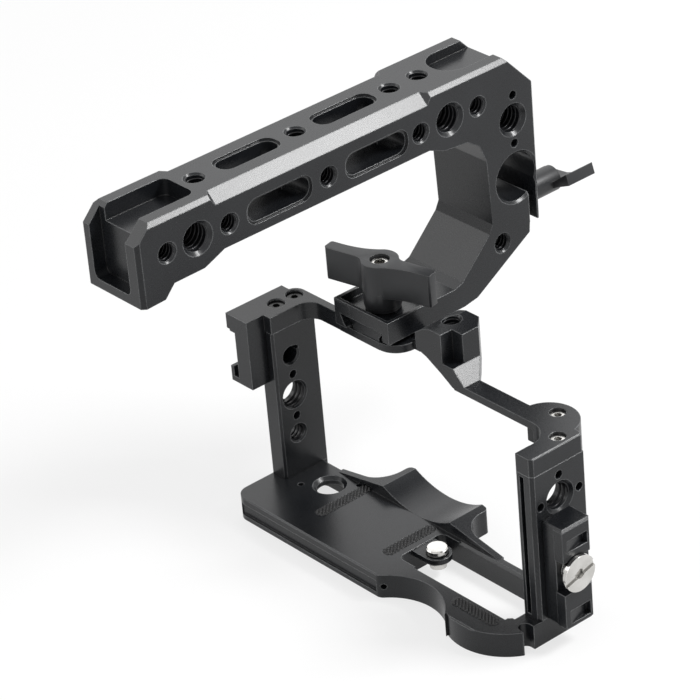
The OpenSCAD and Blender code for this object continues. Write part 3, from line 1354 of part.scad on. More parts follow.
module wing_knob() {
  color(black) translate([-handle_x, knob_y, 0]) rotate([0, 0, wing_angle + 90]) difference() {
    union() {
      translate([0, 0, knob_low + knob_flange])
        cylinder(h = knob_top - knob_low - knob_flange, r = knob_radius);
      translate([0, 0, knob_low]) cylinder(h = 2 * knob_flange, r = knob_flange_radius);
      translate([0, 0, wing_low]) linear_extrude(knob_top - wing_low)
        rounded_box_2d([-wing_thickness / 2, -wing_half], [wing_thickness / 2, wing_half],
          wing_thickness / 5);
    }
    translate([0, 0, knob_low - overrun])
      cylinder(h = knob_top, r = stud_radius + turn_gap);
    translate([0, 0, knob_top - knob_recess_depth])
      cylinder(h = knob_recess_depth + overrun, r = knob_recess_radius);
  }
}

module knob_washer() {
  color(silver) translate([-handle_x, knob_y, foot_floor]) difference() {
    cylinder(h = knob_low - foot_floor - turn_gap, r = knob_washer_radius);
    translate([0, 0, -overrun]) cylinder(h = 3 * overrun, r = stud_radius + turn_gap);
  }
}

module clamp_jaw() {
  color(black) difference() {
    translate([0, knob_y + jaw_length / 2, 0]) rotate([90, 0, 0]) linear_extrude(jaw_length) polygon([
      [-handle_x - rail_groove_half - turn_gap * 4, jaw_low_face + jaw_plate],
      [-handle_x - rail_groove_half - turn_gap * 4, jaw_low_face],
      [slide_gap - rail_right, jaw_low_face],
      [slide_gap - rail_right, rail_band - 5 * slide_gap],
      [-rail_right - rail_undercut + 2 * slide_gap, rail_band - rail_undercut - 4 * slide_gap],
      [-rail_right - rail_undercut + 2 * slide_gap, seat_top + jaw_clearance],
      [-jaw_right, seat_top + jaw_clearance],
      [-jaw_right, jaw_low_face + jaw_plate]]);
    translate([-handle_x, knob_y, jaw_low_face - overrun])
      cylinder(h = jaw_plate + 2 * overrun, r = stud_radius + turn_gap);
  }
}

module clamp_stud() {
  color(silver) translate([-handle_x, knob_y, 0]) difference() {
    union() {
      translate([0, 0, stud_low]) cylinder(h = stud_flange, r = stud_flange_radius);
      translate([0, 0, stud_low])
        cylinder(h = knob_top - knob_recess_depth / 2 - stud_low, r = stud_radius);
    }
    translate([0, 0, knob_top - 2 * knob_recess_depth])
      cylinder(h = 2 * knob_recess_depth, r = small_hex * 0.75, $fn = 6);
  }
}

// Half outline of the rod lever's wing: shares of its half span and of its thickness
lever_wing_shares = [[0, -0.78], [0.5, -0.61], [1, -0.55], [1.02, 0.44], [0.72, 0.2], [0.42, -0.06],
  [0.15, -0.28], [0, -0.29]];

module rod_lever() {
  color(black) translate([-handle_x, handle_back + lever_washer_thickness, lever_height])
    rotate([-90, 0, 0]) difference() {
      union() {
        cylinder(h = lever_hub_length + lever_hub_radius * 0.85, r = lever_hub_radius);
        rotate([0, 0, -lever_angle]) translate([0, 0, lever_hub_length])
          linear_extrude(lever_wing_length) {
          lever_wing_half();
          mirror([1, 0]) lever_wing_half();
        }
      }
      translate([0, 0, -overrun]) cylinder(h = lever_hub_length, r = lever_stud_radius + turn_gap);
    }
}

// The wing's upper side points to the handle's top, so its shares count downward here
module lever_wing_half() {
  polygon([for (s = lever_wing_shares) [s[0] * lever_half_span, -s[1] * lever_wing_thickness]]);
}

module lever_stud() {
  color(silver) translate([-handle_x, slit_front - lever_stud_depth, lever_height]) rotate([-90, 0, 0])
    cylinder(h = lever_stud_depth + handle_back - slit_front + lever_washer_thickness + lever_hub_length
      - 2 * overrun, r = lever_stud_radius);
}

module lever_washer() {
  color(silver) translate([-handle_x, handle_back + turn_gap / 2, lever_height]) rotate([-90, 0, 0])
    difference() {
    cylinder(h = lever_washer_thickness - turn_gap, r = lever_washer_radius);
    translate([0, 0, -overrun]) cylinder(h = 3 * overrun, r = lever_stud_radius + turn_gap);
  }
}

base_plate();
left_post();
right_post();
top_plate();
handle_rail();
rail_screws();
left_top_screws();
right_top_screws();
post_base_screws();
grip_pad_left();
grip_pad_middle();
grip_pad_front();
camera_screw();
screw_clip();
cable_clamp();
thumb_screw();
thumb_washer();
handle_body();
wing_knob();
knob_washer();
clamp_jaw();
clamp_stud();
rod_lever();
lever_stud();
lever_washer();
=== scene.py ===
"""Looks of the camera cage: finishes, threads, pads, wing knob, rod lever, studio and camera.

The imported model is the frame. Its pieces keep their shapes and get procedural finishes here.
Threads are added, and the grip pads, the wing knob and the rod lever get finer shapes. Sizes
in the classes are millimetres in the part's own frame, unless a docstring says metres, and
meshes are made in metres.
"""

from __future__ import annotations

import json
import logging
import math
from dataclasses import dataclass
from enum import Enum
from typing import Any, ClassVar, Iterable, Sequence

import bmesh
import bpy
from mathutils import Matrix, Vector

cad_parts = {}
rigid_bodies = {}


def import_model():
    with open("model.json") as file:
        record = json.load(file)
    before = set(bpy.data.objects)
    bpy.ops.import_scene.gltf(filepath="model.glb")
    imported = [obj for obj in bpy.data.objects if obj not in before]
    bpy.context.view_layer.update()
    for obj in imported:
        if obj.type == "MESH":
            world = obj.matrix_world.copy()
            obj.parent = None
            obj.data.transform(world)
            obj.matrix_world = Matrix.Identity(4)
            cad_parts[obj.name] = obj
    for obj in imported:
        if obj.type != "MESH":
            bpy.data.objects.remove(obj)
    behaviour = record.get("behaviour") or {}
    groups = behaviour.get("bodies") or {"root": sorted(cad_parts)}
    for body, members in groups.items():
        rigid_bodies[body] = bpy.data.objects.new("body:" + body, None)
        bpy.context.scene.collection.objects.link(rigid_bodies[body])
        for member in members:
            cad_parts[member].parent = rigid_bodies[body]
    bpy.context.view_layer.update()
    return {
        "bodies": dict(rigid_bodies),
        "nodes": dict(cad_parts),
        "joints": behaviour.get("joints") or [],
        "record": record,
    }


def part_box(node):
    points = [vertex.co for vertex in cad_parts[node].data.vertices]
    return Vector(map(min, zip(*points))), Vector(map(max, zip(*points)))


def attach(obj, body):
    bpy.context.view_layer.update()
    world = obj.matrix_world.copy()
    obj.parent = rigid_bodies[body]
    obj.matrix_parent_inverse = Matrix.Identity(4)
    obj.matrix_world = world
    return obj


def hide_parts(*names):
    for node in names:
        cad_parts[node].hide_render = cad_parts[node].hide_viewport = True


LOG = logging.getLogger("cage")
MM = 0.001
MERGE_DISTANCE = 1e-6
BEVEL_STEPS = 3
BEVEL_ANGLE = math.radians(40.0)
SHARP_ANGLE = math.radians(35.0)
ORIGIN = (0.0, 0.0, 0.0)
WHITE = (1.0, 1.0, 1.0, 1.0)
Colour = tuple[float, float, float]
Point = tuple[float, float, float]
Plan = tuple[float, float]
Span = tuple[float, float]


class Axis(Enum):
    """Direction in which a threaded hole runs."""

    X = (0.0, math.pi / 2, 0.0)
    Z = (0.0, 0.0, 0.0)


class Wire:
    """A shader value that takes part in Python arithmetic; each operator adds a Math node."""

    def __init__(self, tree: "ShaderTree", socket: Any) -> None:
        """Keeps the tree and the socket that carries the value."""
        self.tree = tree
        self.socket = socket

    def _math(self, operation: str, left: Any, right: Any) -> "Wire":
        """Adds one Math node and returns its value."""
        node = self.tree.add("ShaderNodeMath", {"operation": operation}, {0: left, 1: right})
        return Wire(self.tree, node.outputs[0])

    def __add__(self, other: Any) -> "Wire":
        """Sum."""
        return self._math("ADD", self, other)

    def __rsub__(self, other: Any) -> "Wire":
        """Difference from a number on the left."""
        return self._math("SUBTRACT", other, self)

    def __mul__(self, other: Any) -> "Wire":
        """Product."""
        return self._math("MULTIPLY", self, other)

    def ramp(self, low: float, high: float) -> "Wire":
        """Brings the value from low..high to 0..1 and cuts off the rest.

        Args:
            low: value that becomes 0.
            high: value that becomes 1.

        Returns:
            The value between 0 and 1.
        """
        node = self.tree.add("ShaderNodeMapRange", {"clamp": True},
                             {"Value": self, "From Min": low, "From Max": high})
        return Wire(self.tree, node.outputs["Result"])


class ShaderTree:
    """Material whose nodes are added by one method."""

    def __init__(self, name: str) -> None:
        """Makes an empty node material.

        Args:
            name: the material's name.
        """
        self.material = bpy.data.materials.new(name)
        self.material.use_nodes = True
        self.nodes = self.material.node_tree.nodes
        self.links = self.material.node_tree.links
        self.nodes.clear()

    def add(self, kind: str, settings: dict[str, Any] | None = None,
            inputs: dict[Any, Any] | None = None) -> Any:
        """Adds a node, sets it up and feeds its sockets.

        Args:
            kind: the node's type name.
            settings: properties that are set first.
            inputs: values or wires by socket name or number.

        Returns:
            The new node.
        """
        node = self.nodes.new(kind)
        for key, value in (settings or {}).items():
            setattr(node, key, value)
        for key, value in (inputs or {}).items():
            if isinstance(value, Wire):
                self.links.new(value.socket, node.inputs[key])
            else:
                node.inputs[key].default_value = value
        return node

    def wire(self, node: Any, output: Any = 0) -> Wire:
        """Wraps an output socket of a node."""
        return Wire(self, node.outputs[output])

    def blend(self, share: Wire, first: Any, second: Any) -> Wire:
        """Mixes two colours by a share.

        Args:
            share: 0 gives the first colour and 1 the second.
            first: colour or wire.
            second: colour or wire.

        Returns:
            The mixed colour.
        """
        node = self.add("ShaderNodeMix", {"data_type": "RGBA"})
        self.links.new(share.socket, node.inputs[0])
        for socket, value in ((node.inputs[6], first), (node.inputs[7], second)):
            if isinstance(value, Wire):
                self.links.new(value.socket, socket)
            else:
                socket.default_value = (*value, 1.0)
        return Wire(self, node.outputs[2])

    def noise(self, place: Wire, scale: float, detail: float = 2.0) -> Wire:
        """Noise value on a place, its scale per metre."""
        node = self.add("ShaderNodeTexNoise", {}, {
            "Vector": place, "Scale": scale, "Detail": detail})
        return self.wire(node, 0)


@dataclass(frozen=True)
class Finish:
    """Surface finish with a fine grain, soft blotches, a painted highlight along edges and painted
    shade in hollows.

    Fields give the colours, the roughness, the grain and how far edges are rounded for light.
    Texture scales are per metre. A span holds the values at which a share starts and is full.
    """

    name: str
    colour: Colour
    tint: Colour
    # colour of the painted highlight along edges
    edge_highlight_colour: Colour
    metallic: float
    roughness: float
    roughness_spread: float
    grain_scale: float
    grain_strength: float
    edge_radius: float = 0.3
    blotch_scale: float = 45.0
    specular: float = 0.34
    # colour of the painted shade in hollows
    hollow_shade_colour: Colour = (0.003, 0.003, 0.0033)
    hollow_reach: float = 0.9

    BEVEL_SAMPLES: ClassVar[int] = 4
    HOLLOW_SAMPLES: ClassVar[int] = 6
    BLOTCH_DETAIL: ClassVar[float] = 3.0
    GRAIN_DEPTH: ClassVar[float] = 0.05
    TINT_SPAN: ClassVar[Span] = (0.35, 0.7)
    TURN_SPAN: ClassVar[Span] = (0.01, 0.12)
    # blotch values over which the painted edge highlight fades in, breaking it up along the edges
    RANDOM_SPAN: ClassVar[Span] = (0.2, 0.5)
    FREE_SPAN: ClassVar[Span] = (0.75, 0.95)
    HOLLOW_SHADE_SPAN: ClassVar[Span] = (0.25, 0.85)
    BLOTCH_SHARE: ClassVar[float] = 0.5
    SPREAD_MIDDLE: ClassVar[float] = 0.75

    def build(self) -> Any:
        """Builds the material.

        Returns:
            The material with its nodes.
        """
        tree = ShaderTree(self.name)
        place = tree.wire(tree.add("ShaderNodeTexCoord"), "Object")
        grain = tree.noise(place, self.grain_scale)
        blotch = tree.noise(place, self.blotch_scale, self.BLOTCH_DETAIL)
        rounded = tree.wire(tree.add("ShaderNodeBevel", {"samples": self.BEVEL_SAMPLES},
                                     {"Radius": self.edge_radius * MM}))
        true_normal = tree.wire(tree.add("ShaderNodeNewGeometry"), "Normal")
        turned = tree.wire(tree.add("ShaderNodeVectorMath", {"operation": "DOT_PRODUCT"},
                                    {0: rounded, 1: true_normal}), "Value")
        free = tree.wire(tree.add("ShaderNodeAmbientOcclusion", {"samples": self.HOLLOW_SAMPLES},
                                  {"Distance": self.hollow_reach * MM}), "AO")
        # painted highlight: open edges, where the rounded normal turns from the true one, are
        # lightened toward the edge colour and broken up by blotches
        edge_highlight = ((1.0 - turned).ramp(*self.TURN_SPAN) * blotch.ramp(*self.RANDOM_SPAN)
                  * free.ramp(*self.FREE_SPAN))
        colour = tree.blend(blotch.ramp(*self.TINT_SPAN), self.colour, self.tint)
        colour = tree.blend(edge_highlight, colour, self.edge_highlight_colour)
        # painted shade: hollows found by ambient occlusion are darkened toward the hollow colour
        colour = tree.blend(free.ramp(*self.HOLLOW_SHADE_SPAN), self.hollow_shade_colour, colour)
        spread = self.roughness_spread
        rough = grain * spread + blotch * (spread * self.BLOTCH_SHARE)
        rough = rough + (self.roughness - spread * self.SPREAD_MIDDLE)
        bump = tree.add("ShaderNodeBump", {}, {
            "Strength": self.grain_strength, "Distance": self.GRAIN_DEPTH * MM,
            "Height": grain, "Normal": rounded})
        shader = tree.add("ShaderNodeBsdfPrincipled", {}, {
            "Base Color": colour, "Roughness": rough, "Metallic": self.metallic,
            "Specular IOR Level": self.specular, "Normal": tree.wire(bump)})
        tree.add("ShaderNodeOutputMaterial", {}, {"Surface": tree.wire(shader)})
        return tree.material


class Look(Enum):
    """Finishes of the cage's pieces."""

    # in each finish the edge colour is a painted highlight along edges, and the hollow colour is
    # painted shade in hollows
    MILLED = Finish(
        "black_anodised", colour=(0.0070, 0.0078, 0.0092), tint=(0.011, 0.012, 0.014),
        edge_highlight_colour=(0.22, 0.225, 0.23), metallic=0.0, roughness=0.28, roughness_spread=0.08,
        grain_scale=4200.0, grain_strength=0.15, edge_radius=0.4)
    # the thread's colour is a little lighter than the milled finish's, as a painted glint along the
    # ridges
    THREAD = Finish(
        "thread_anodised", colour=(0.02, 0.02, 0.022), tint=(0.03, 0.03, 0.032),
        edge_highlight_colour=(0.12, 0.12, 0.12), metallic=0.5, roughness=0.28, roughness_spread=0.08,
        grain_scale=3000.0, grain_strength=0.1, edge_radius=0.1)
    KNOB = Finish(
        "knob_satin", colour=(0.020, 0.0208, 0.0225), tint=(0.027, 0.028, 0.030),
        edge_highlight_colour=(0.12, 0.12, 0.12), metallic=0.1, roughness=0.42, roughness_spread=0.10,
        grain_scale=3600.0, grain_strength=0.35, specular=0.4)
    STEEL = Finish(
        "nickel_steel", colour=(0.64, 0.63, 0.61), tint=(0.50, 0.49, 0.47),
        edge_highlight_colour=(0.85, 0.84, 0.82), metallic=1.0, roughness=0.19, roughness_spread=0.08,
        grain_scale=1400.0, grain_strength=0.12, edge_radius=0.2, blotch_scale=160.0,
        # painted shade in the steel's hollows
        hollow_shade_colour=(0.02, 0.02, 0.019), hollow_reach=1.0)
    DARK_STEEL = Finish(
        "oxide_steel", colour=(0.005, 0.005, 0.005), tint=(0.008, 0.008, 0.008),
        edge_highlight_colour=(0.20, 0.20, 0.195), metallic=0.0, roughness=0.20, roughness_spread=0.08,
        grain_scale=1600.0, grain_strength=0.15, edge_radius=0.25, blotch_scale=160.0,
        specular=0.22)
    RUBBER = Finish(
        "knurled_rubber", colour=(0.010, 0.010, 0.011), tint=(0.014, 0.014, 0.015),
        edge_highlight_colour=(0.13, 0.13, 0.13), metallic=0.0, roughness=0.40, roughness_spread=0.10,
        grain_scale=2600.0, grain_strength=0.3, edge_radius=0.12, blotch_scale=90.0,
        specular=0.4, hollow_shade_colour=(0.0012, 0.0012, 0.0012), hollow_reach=0.7)


class Paint:
    """Gives each finish's material once and puts it on pieces."""

    def __init__(self) -> None:
        """Starts with no material made."""
        self._made: dict[Look, Any] = {}

    def material(self, look: Look) -> Any:
        """Material of a finish, made at its first use."""
        if look not in self._made:
            self._made[look] = look.value.build()
        return self._made[look]

    def dress(self, piece: Any, look: Look) -> None:
        """Puts a finish on every slot of a piece.

        Args:
            piece: mesh object.
            look: the finish.
        """
        if not piece.material_slots:
            piece.data.materials.append(None)
        for place in piece.material_slots:
            place.material = self.material(look)
        LOG.info("dressed %s in %s", piece.name, look.value.name)

    def dress_nodes(self, frame: dict[str, Any], names: Iterable[str], look: Look) -> None:
        """Puts a finish on nodes of the frame.

        Args:
            frame: the loaded frame.
            names: names of the nodes.
            look: the finish.
        """
        for name in names:
            self.dress(frame["nodes"][name], look)


def worked_out(piece: Any) -> Any:
    """Plain mesh of a piece with its modifiers applied; the piece itself stays as it is."""
    bpy.context.view_layer.update()
    graph = bpy.context.evaluated_depsgraph_get()
    return bpy.data.meshes.new_from_object(piece.evaluated_get(graph), depsgraph=graph)


def plain_mesh(work: Any, name: str) -> Any:
    """Turns a work mesh into a plain mesh and frees it."""
    mesh = bpy.data.meshes.new(name)
    work.to_mesh(mesh)
    work.free()
    return mesh


class GrowTree:
    """Geometry Nodes tree with named inputs, and the piece that is grown with it."""

    def __init__(self, name: str, inputs: dict[str, Any]) -> None:
        """Makes a tree with its inputs.

        Args:
            name: the tree's name.
            inputs: default value by input name; three numbers make a vector input.
        """
        self.group = bpy.data.node_groups.new(name, "GeometryNodeTree")
        face = self.group.interface
        face.new_socket("Geometry", in_out="INPUT", socket_type="NodeSocketGeometry")
        face.new_socket("Geometry", in_out="OUTPUT", socket_type="NodeSocketGeometry")
        self.identifiers: dict[str, str] = {}
        for title, default in inputs.items():
            kind = "NodeSocketVector" if isinstance(default, tuple) else "NodeSocketFloat"
            socket = face.new_socket(title, in_out="INPUT", socket_type=kind)
            socket.default_value = default
            self.identifiers[title] = socket.identifier
        self.source = self.group.nodes.new("NodeGroupInput")

    def add(self, kind: str, settings: dict[str, Any] | None = None,
            inputs: dict[Any, Any] | None = None) -> Any:
        """Adds a node; an input is a value, a socket or the name of a tree input after '@'.

        Args:
            kind: the node's type name.
            settings: properties that are set first.
            inputs: values by socket name or number.

        Returns:
            The new node.
        """
        node = self.group.nodes.new(kind)
        for key, value in (settings or {}).items():
            setattr(node, key, value)
        for key, value in (inputs or {}).items():
            if isinstance(value, str) and value.startswith("@"):
                value = self.source.outputs[value[1:]]
            if isinstance(value, bpy.types.NodeSocket):
                self.group.links.new(value, node.inputs[key])
            else:
                node.inputs[key].default_value = value
        return node

    def calc(self, operation: str, first: Any, second: Any = 0.0) -> Any:
        """Adds a Math node and returns its output socket."""
        node = self.add("ShaderNodeMath", {"operation": operation}, {0: first, 1: second})
        return node.outputs[0]

    def close(self, geometry: Any, material: Any) -> None:
        """Ends the tree in Realize Instances and Set Material.

        Args:
            geometry: socket with the finished geometry.
            material: material of the result.
        """
        real = self.add("GeometryNodeRealizeInstances", {}, {"Geometry": geometry})
        painted = self.add("GeometryNodeSetMaterial", {}, {
            "Geometry": real.outputs[0], "Material": material})
        self.add("NodeGroupOutput", {}, {0: painted.outputs[0]})

    def grow(self, seed_mesh: Any, values: dict[str, Any]) -> Any:
        """Runs the tree on a mesh and returns a plain mesh.

        Args:
            seed_mesh: mesh that the tree starts from.
            values: values of the named inputs.

        Returns:
            A new plain mesh.
        """
        carrier = bpy.data.objects.new("carrier", seed_mesh)
        bpy.context.scene.collection.objects.link(carrier)
        modifier = carrier.modifiers.new("grow", "NODES")
        modifier.node_group = self.group
        for title, value in values.items():
            modifier[self.identifiers[title]] = value
        mesh = worked_out(carrier)
        bpy.data.objects.remove(carrier)
        return mesh


def link_piece(name: str, mesh: Any) -> Any:
    """Makes an object of a mesh at the origin and links it."""
    piece = bpy.data.objects.new(name, mesh)
    bpy.context.scene.collection.objects.link(piece)
    return piece


def join_meshes(meshes: Iterable[Any], name: str, material: Any) -> Any:
    """Joins plain meshes, turns their faces outwards and gives them one material.

    Args:
        meshes: the meshes.
        name: name of the joined mesh.
        material: material of the joined mesh.

    Returns:
        The joined mesh.
    """
    work = bmesh.new()
    for mesh in meshes:
        work.from_mesh(mesh)
    bmesh.ops.recalc_face_normals(work, faces=work.faces)
    for face in work.faces:
        face.material_index = 0
    joined = plain_mesh(work, name)
    joined.materials.append(material)
    return joined


def walls(work: Any, low_ring: Iterable[Any], high_ring: Iterable[Any]) -> tuple[Any, Any]:
    """Adds two rings of as many points to a work mesh, and the faces between them.

    Args:
        work: the work mesh.
        low_ring: points of the underside, in metres.
        high_ring: points of the top, in metres.

    Returns:
        The corners of the low and of the high ring, for the end faces.
    """
    low, high = ([work.verts.new(point) for point in ring] for ring in (low_ring, high_ring))
    for k, corner in enumerate(low):
        after = (k + 1) % len(low)
        work.faces.new((corner, low[after], high[after], high[k]))
    return low, high


@dataclass(frozen=True)
class Bore:
    """A threaded hole: where its thread starts, its direction, length and size."""

    start: Point
    axis: Axis
    length: float
    large: bool = False


class ThreadMaker:
    """Gives bores the look of a thread: a helical ridge on each wall."""

    small_radius = 2.6
    large_radius = 4.05
    small_pitch = 1.27
    large_pitch = 1.5875
    ridge_share = 0.27
    ridge_sides = 4
    turn_steps = 26

    def __init__(self, paint: Paint) -> None:
        """Builds the helix tree.

        Args:
            paint: gives the thread's material.
        """
        self.material = paint.material(Look.THREAD)
        tree = GrowTree("thread_helix", {
            "Radius": self.small_radius * MM, "Pitch": self.small_pitch * MM,
            "Ridge": self.small_pitch * self.ridge_share * MM, "Length": self.small_radius * MM,
            "Place": ORIGIN, "Turn": ORIGIN})
        spiral = tree.add("GeometryNodeCurveSpiral", {}, {
            "Resolution": self.turn_steps,
            "Rotations": tree.calc("DIVIDE", "@Length", "@Pitch"),
            "Start Radius": "@Radius", "End Radius": "@Radius", "Height": "@Length"})
        upright = tree.add("GeometryNodeSetCurveNormal", {"mode": "Z_UP"}, {0: spiral.outputs[0]})
        profile = tree.add("GeometryNodeCurvePrimitiveCircle", {}, {
            "Resolution": self.ridge_sides, "Radius": "@Ridge"})
        ridge = tree.add("GeometryNodeCurveToMesh", {}, {
            "Curve": upright.outputs[0], "Profile Curve": profile.outputs[0], "Fill Caps": True})
        placed = tree.add("GeometryNodeTransform", {}, {
            "Geometry": ridge.outputs[0], "Translation": "@Place", "Rotation": "@Turn"})
        tree.close(placed.outputs[0], self.material)
        self.tree = tree

    def cut(self, name: str, bores: Sequence[Bore]) -> Any:
        """Makes the threads of several bores as one piece.

        Args:
            name: name of the piece.
            bores: the bores.

        Returns:
            The piece.
        """
        grown = []
        for bore in bores:
            pitch = self.large_pitch if bore.large else self.small_pitch
            radius = self.large_radius if bore.large else self.small_radius
            grown.append(self.tree.grow(bpy.data.meshes.new("empty"), {
                "Radius": radius * MM, "Pitch": pitch * MM,
                "Ridge": pitch * self.ridge_share * MM, "Length": bore.length * MM,
                "Place": tuple(v * MM for v in bore.start),
                "Turn": bore.axis.value}))
        piece = link_piece(name, join_meshes(grown, name, self.material))
        LOG.info("threads %s: %d bores, %d faces", name, len(bores), len(piece.data.polygons))
        return piece


@dataclass
class Handle:
    """Top handle: its body and the threads in its holes."""

    middle: float = -35.85
    width: float = 23.0
    front: float = -73.5
    length: float = 142.5
    top: float = 125.2
    foot: float = 54.5
    rise: float = 70.7
    row: float = 114.7
    mouth_small: float = 0.7
    mouth_large: float = 1.2
    small_side: tuple[float, ...] = (0.0681, 0.2175, 0.4625, 0.698, 0.848)
    large_side: tuple[float, ...] = (0.141, 0.774)
    small_top: tuple[float, ...] = (0.206, 0.4533, 0.694, 0.767)
    top_thread: float = 5.6
    arm_large: tuple[float, float] = (0.9375, 0.7214)
    arm_small: tuple[float, float] = (0.891, 0.2)

    def along(self, share: float) -> float:
        """Place along the handle at a share of its length, from its front end."""
        return self.front + share * self.length

    def through(self, y: float, z: float, large: bool) -> Bore:
        """Bore right through the handle's sides.

        Args:
            y: place along the handle.
            z: height.
            large: whether it is the large size.

        Returns:
            The bore.
        """
        mouth = self.mouth_large if large else self.mouth_small
        start = (self.middle - self.width / 2 + mouth, y, z)
        return Bore(start, Axis.X, self.width - 2 * mouth, large)

    def bores(self) -> list[Bore]:
        """All threaded holes of the handle."""
        found = [self.through(self.along(share), self.row, large)
                 for shares, large in ((self.small_side, False), (self.large_side, True))
                 for share in shares]
        for (share, lift), large in ((self.arm_large, True), (self.arm_small, False)):
            found.append(self.through(self.along(share), self.foot + lift * self.rise, large))
        low = self.top - self.mouth_small - self.top_thread
        found += [Bore((self.middle, self.along(share), low), Axis.Z, self.top_thread)
                  for share in self.small_top]
        return found

    def build(self, frame: dict[str, Any], paint: Paint, threads: ThreadMaker) -> None:
        """Dresses the handle's body and adds its threads.

        Args:
            frame: the loaded frame.
            paint: gives materials.
            threads: makes threads.
        """
        paint.dress(frame["nodes"]["handle_body"], Look.MILLED)
        piece = threads.cut("handle_threads", self.bores())
        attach(piece, "handle")


@dataclass
class CageFrame:
    """Base plate, posts, top plate, rail and their screws, with the threads in the holes."""

    left_inner: float = -61.2
    left_outer: float = -67.1
    left_y: float = 1.8
    left_large: float = 26.4
    left_small: float = 13.3
    left_mouth: float = 0.4
    left_mouths: float = 1.1
    right_outer: float = 46.9
    right_mouth: float = 1.1
    right_depth: float = 4.4
    right_y: float = 5.4
    right_z: float = 36.2
    hump_hole: tuple[float, float] = (-7.2, 17.4)
    hump_low: float = 58.4
    hump_thread: float = 6.6
    milled: tuple[str, ...] = ("base_plate", "left_post", "right_post", "top_plate", "handle_rail")
    dark: tuple[str, ...] = ("rail_screws", "left_top_screws")
    bright: tuple[str, ...] = ("right_top_screws", "post_base_screws", "camera_screw", "screw_clip")

    def bores(self) -> list[Bore]:
        """All threaded holes of the cage."""
        left_start = self.left_outer + self.left_mouth
        left_length = self.left_inner - self.left_outer - self.left_mouths
        right_start = self.right_outer - self.right_mouth - self.right_depth
        return [
            Bore((left_start, self.left_y, self.left_small), Axis.X, left_length),
            Bore((left_start, self.left_y, self.left_large), Axis.X, left_length, True),
            Bore((right_start, self.right_y, self.right_z), Axis.X, self.right_depth, True),
            Bore((*self.hump_hole, self.hump_low), Axis.Z, self.hump_thread)]

    def build(self, frame: dict[str, Any], paint: Paint, threads: ThreadMaker) -> None:
        """Dresses the cage's nodes and adds its threads.

        Args:
            frame: the loaded frame.
            paint: gives materials.
            threads: makes threads.
        """
        paint.dress_nodes(frame, self.milled, Look.MILLED)
        paint.dress_nodes(frame, self.dark, Look.DARK_STEEL)
        paint.dress_nodes(frame, self.bright, Look.STEEL)
        piece = threads.cut("cage_threads", self.bores())
        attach(piece, "cage")


